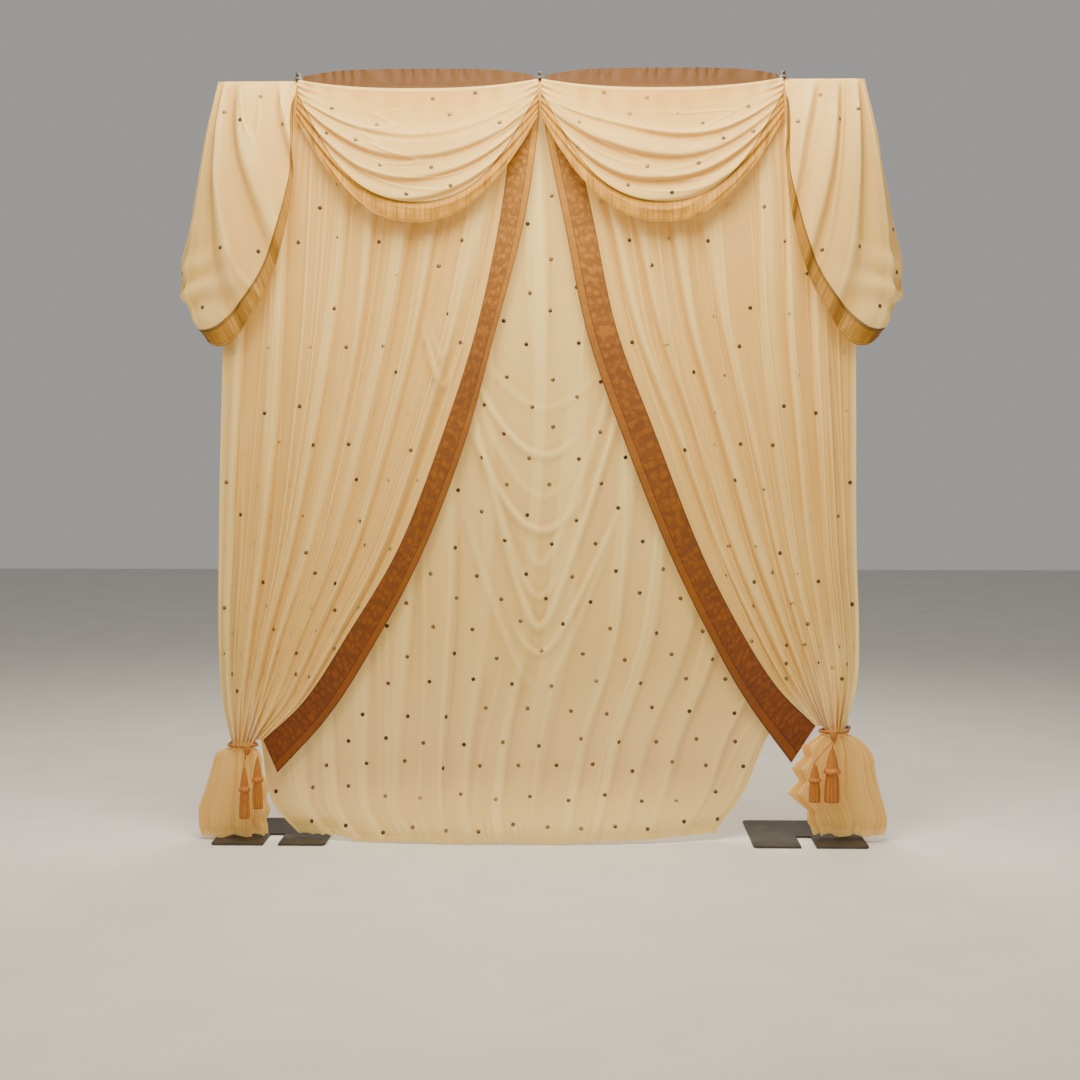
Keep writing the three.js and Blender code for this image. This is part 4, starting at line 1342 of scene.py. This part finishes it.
class ARCH_OT_tails(bpy.types.Operator):
    """Let the ends of the curtains flare below the ties"""

    bl_idname = "arch.tails"
    bl_label = "Curtain tails"

    def execute(self, context):
        for name, arm in ARMS.items():
            tail = add_cloth(f"tail_{name}", f"curtain_tail_{name}", (300, 84), tail_maker(arm),
                             arm["tail_cut"], "sheer tail", front=arm["side"], hems="b",
                             closed=True)
        return {"FINISHED"}


class ARCH_OT_swags(bpy.types.Operator):
    """Drape the two centre swags with their gold hems"""

    bl_idname = "arch.swags"
    bl_label = "Centre swags"

    def execute(self, context):
        def shade(u, v):
            return -1.2 * smooth(0.5, 0.0, v) * (1 - (2 * u - 1) ** 2)

        for name, side in SIDES:
            place = swag_maker(side, PIN_X)
            upper, lower = parted(place, swag_border_top, 0.001)
            swag = add_cloth(f"swag_cloth_{name}", f"swag_{name}", (160, 140), upper, SWAG_CUT,
                             "sheer ivory", front=side, hems="t", pale=shade)
            sequins = add_sequins(f"sequins_swag_{name}", upper, SWAG_SPREAD,
                                  lambda u, v: v < 0.06 or abs(2 * u - 1) > 0.85, 0.5, side)
            hem = add_cloth(f"swag_hem_{name}", f"swag_border_{name}", (160, 14), lower,
                            SWAG_HEM_CUT, "swag border", front=side)
        return {"FINISHED"}


class ARCH_OT_side_swags(bpy.types.Operator):
    """Loop the side swags round the ends of the bar"""

    bl_idname = "arch.side_swags"
    bl_label = "Side swags"

    def execute(self, context):
        for name, side in SIDES:
            upper, lower = parted(side_swag_maker(side), side_border_top, 0.0015)

            def pale(u, v, side=side):
                return doubled(side_warp(u, v, side), 2 * v, side + 12.0)

            swag = add_cloth(f"side_cloth_{name}", f"side_swag_{name}", (200, 120), upper,
                             SIDE_CUT, "sheer ivory", front=side, pale=pale)
            sequins = add_sequins(f"sequins_side_{name}", upper, SIDE_SPREAD,
                                  lambda u, v: v < 0.26 or u < 0.08 or u > 0.92, 0.5, side)
            hem = add_cloth(f"side_hem_{name}", f"side_swag_border_{name}", (220, 10), lower,
                            SIDE_HEM_CUT, "side border", front=side)
        return {"FINISHED"}


class ARCH_OT_strip(bpy.types.Operator):
    """Stand the gathered strip on the bar and set the pins"""

    bl_idname = "arch.strip"
    bl_label = "Bar strip and pins"

    def execute(self, context):
        for name, side in SIDES:
            strip = add_cloth(f"bar_strip_{name}", f"header_strip_{name}", (240, 16),
                              strip_maker(side, PIN_SPACE, PIN_X - PIN_SPACE), STRIP_CUT,
                              "bar strip painted shade", front=side)
        for name in ("left", "centre", "right"):
            low, high = (Vector(corner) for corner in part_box(f"swag_pin_{name}"))

            def fill(bm, low=low, high=high):
                fill_pin(bm, low, high)

            add_piece(f"pin_{name}", fill, "dark clip", f"swag_pin_{name}")
        return {"FINISHED"}


class ARCH_PT_panel(bpy.types.Panel):
    """Lists the arch's pieces in the sidebar"""

    bl_label = "Draped event arch"
    bl_idname = "ARCH_PT_panel"
    bl_space_type = "VIEW_3D"
    bl_region_type = "UI"
    bl_category = "Arch"

    def draw(self, context):
        for group in (context.scene.arch_sizes, context.scene.arch_colours):
            column = self.layout.column(align=True)
            for key in group.bl_rna.properties.keys():
                if key not in {"rna_type", "name"}:
                    column.prop(group, key)
        for step in STEPS:
            self.layout.operator(step.bl_idname)


STEPS = (
    ARCH_OT_stage,
    ARCH_OT_ropes,
    ARCH_OT_metal,
    ARCH_OT_back_drape,
    ARCH_OT_front_curtains,
    ARCH_OT_tails,
    ARCH_OT_swags,
    ARCH_OT_side_swags,
    ARCH_OT_strip,
)
CLASSES = (ArchColours, ArchSizes, *STEPS, ARCH_PT_panel)


def register():
    for cls in CLASSES:
        bpy.utils.register_class(cls)
    bpy.types.Scene.arch_colours = bpy.props.PointerProperty(type=ArchColours)
    bpy.types.Scene.arch_sizes = bpy.props.PointerProperty(type=ArchSizes)


def unregister():
    del bpy.types.Scene.arch_sizes
    del bpy.types.Scene.arch_colours
    for cls in reversed(CLASSES):
        bpy.utils.unregister_class(cls)


def main():
    register()
    for step in STEPS:
        group, name = step.bl_idname.split(".")
        getattr(getattr(bpy.ops, group), name)()


if __name__ == "__main__":
    main()
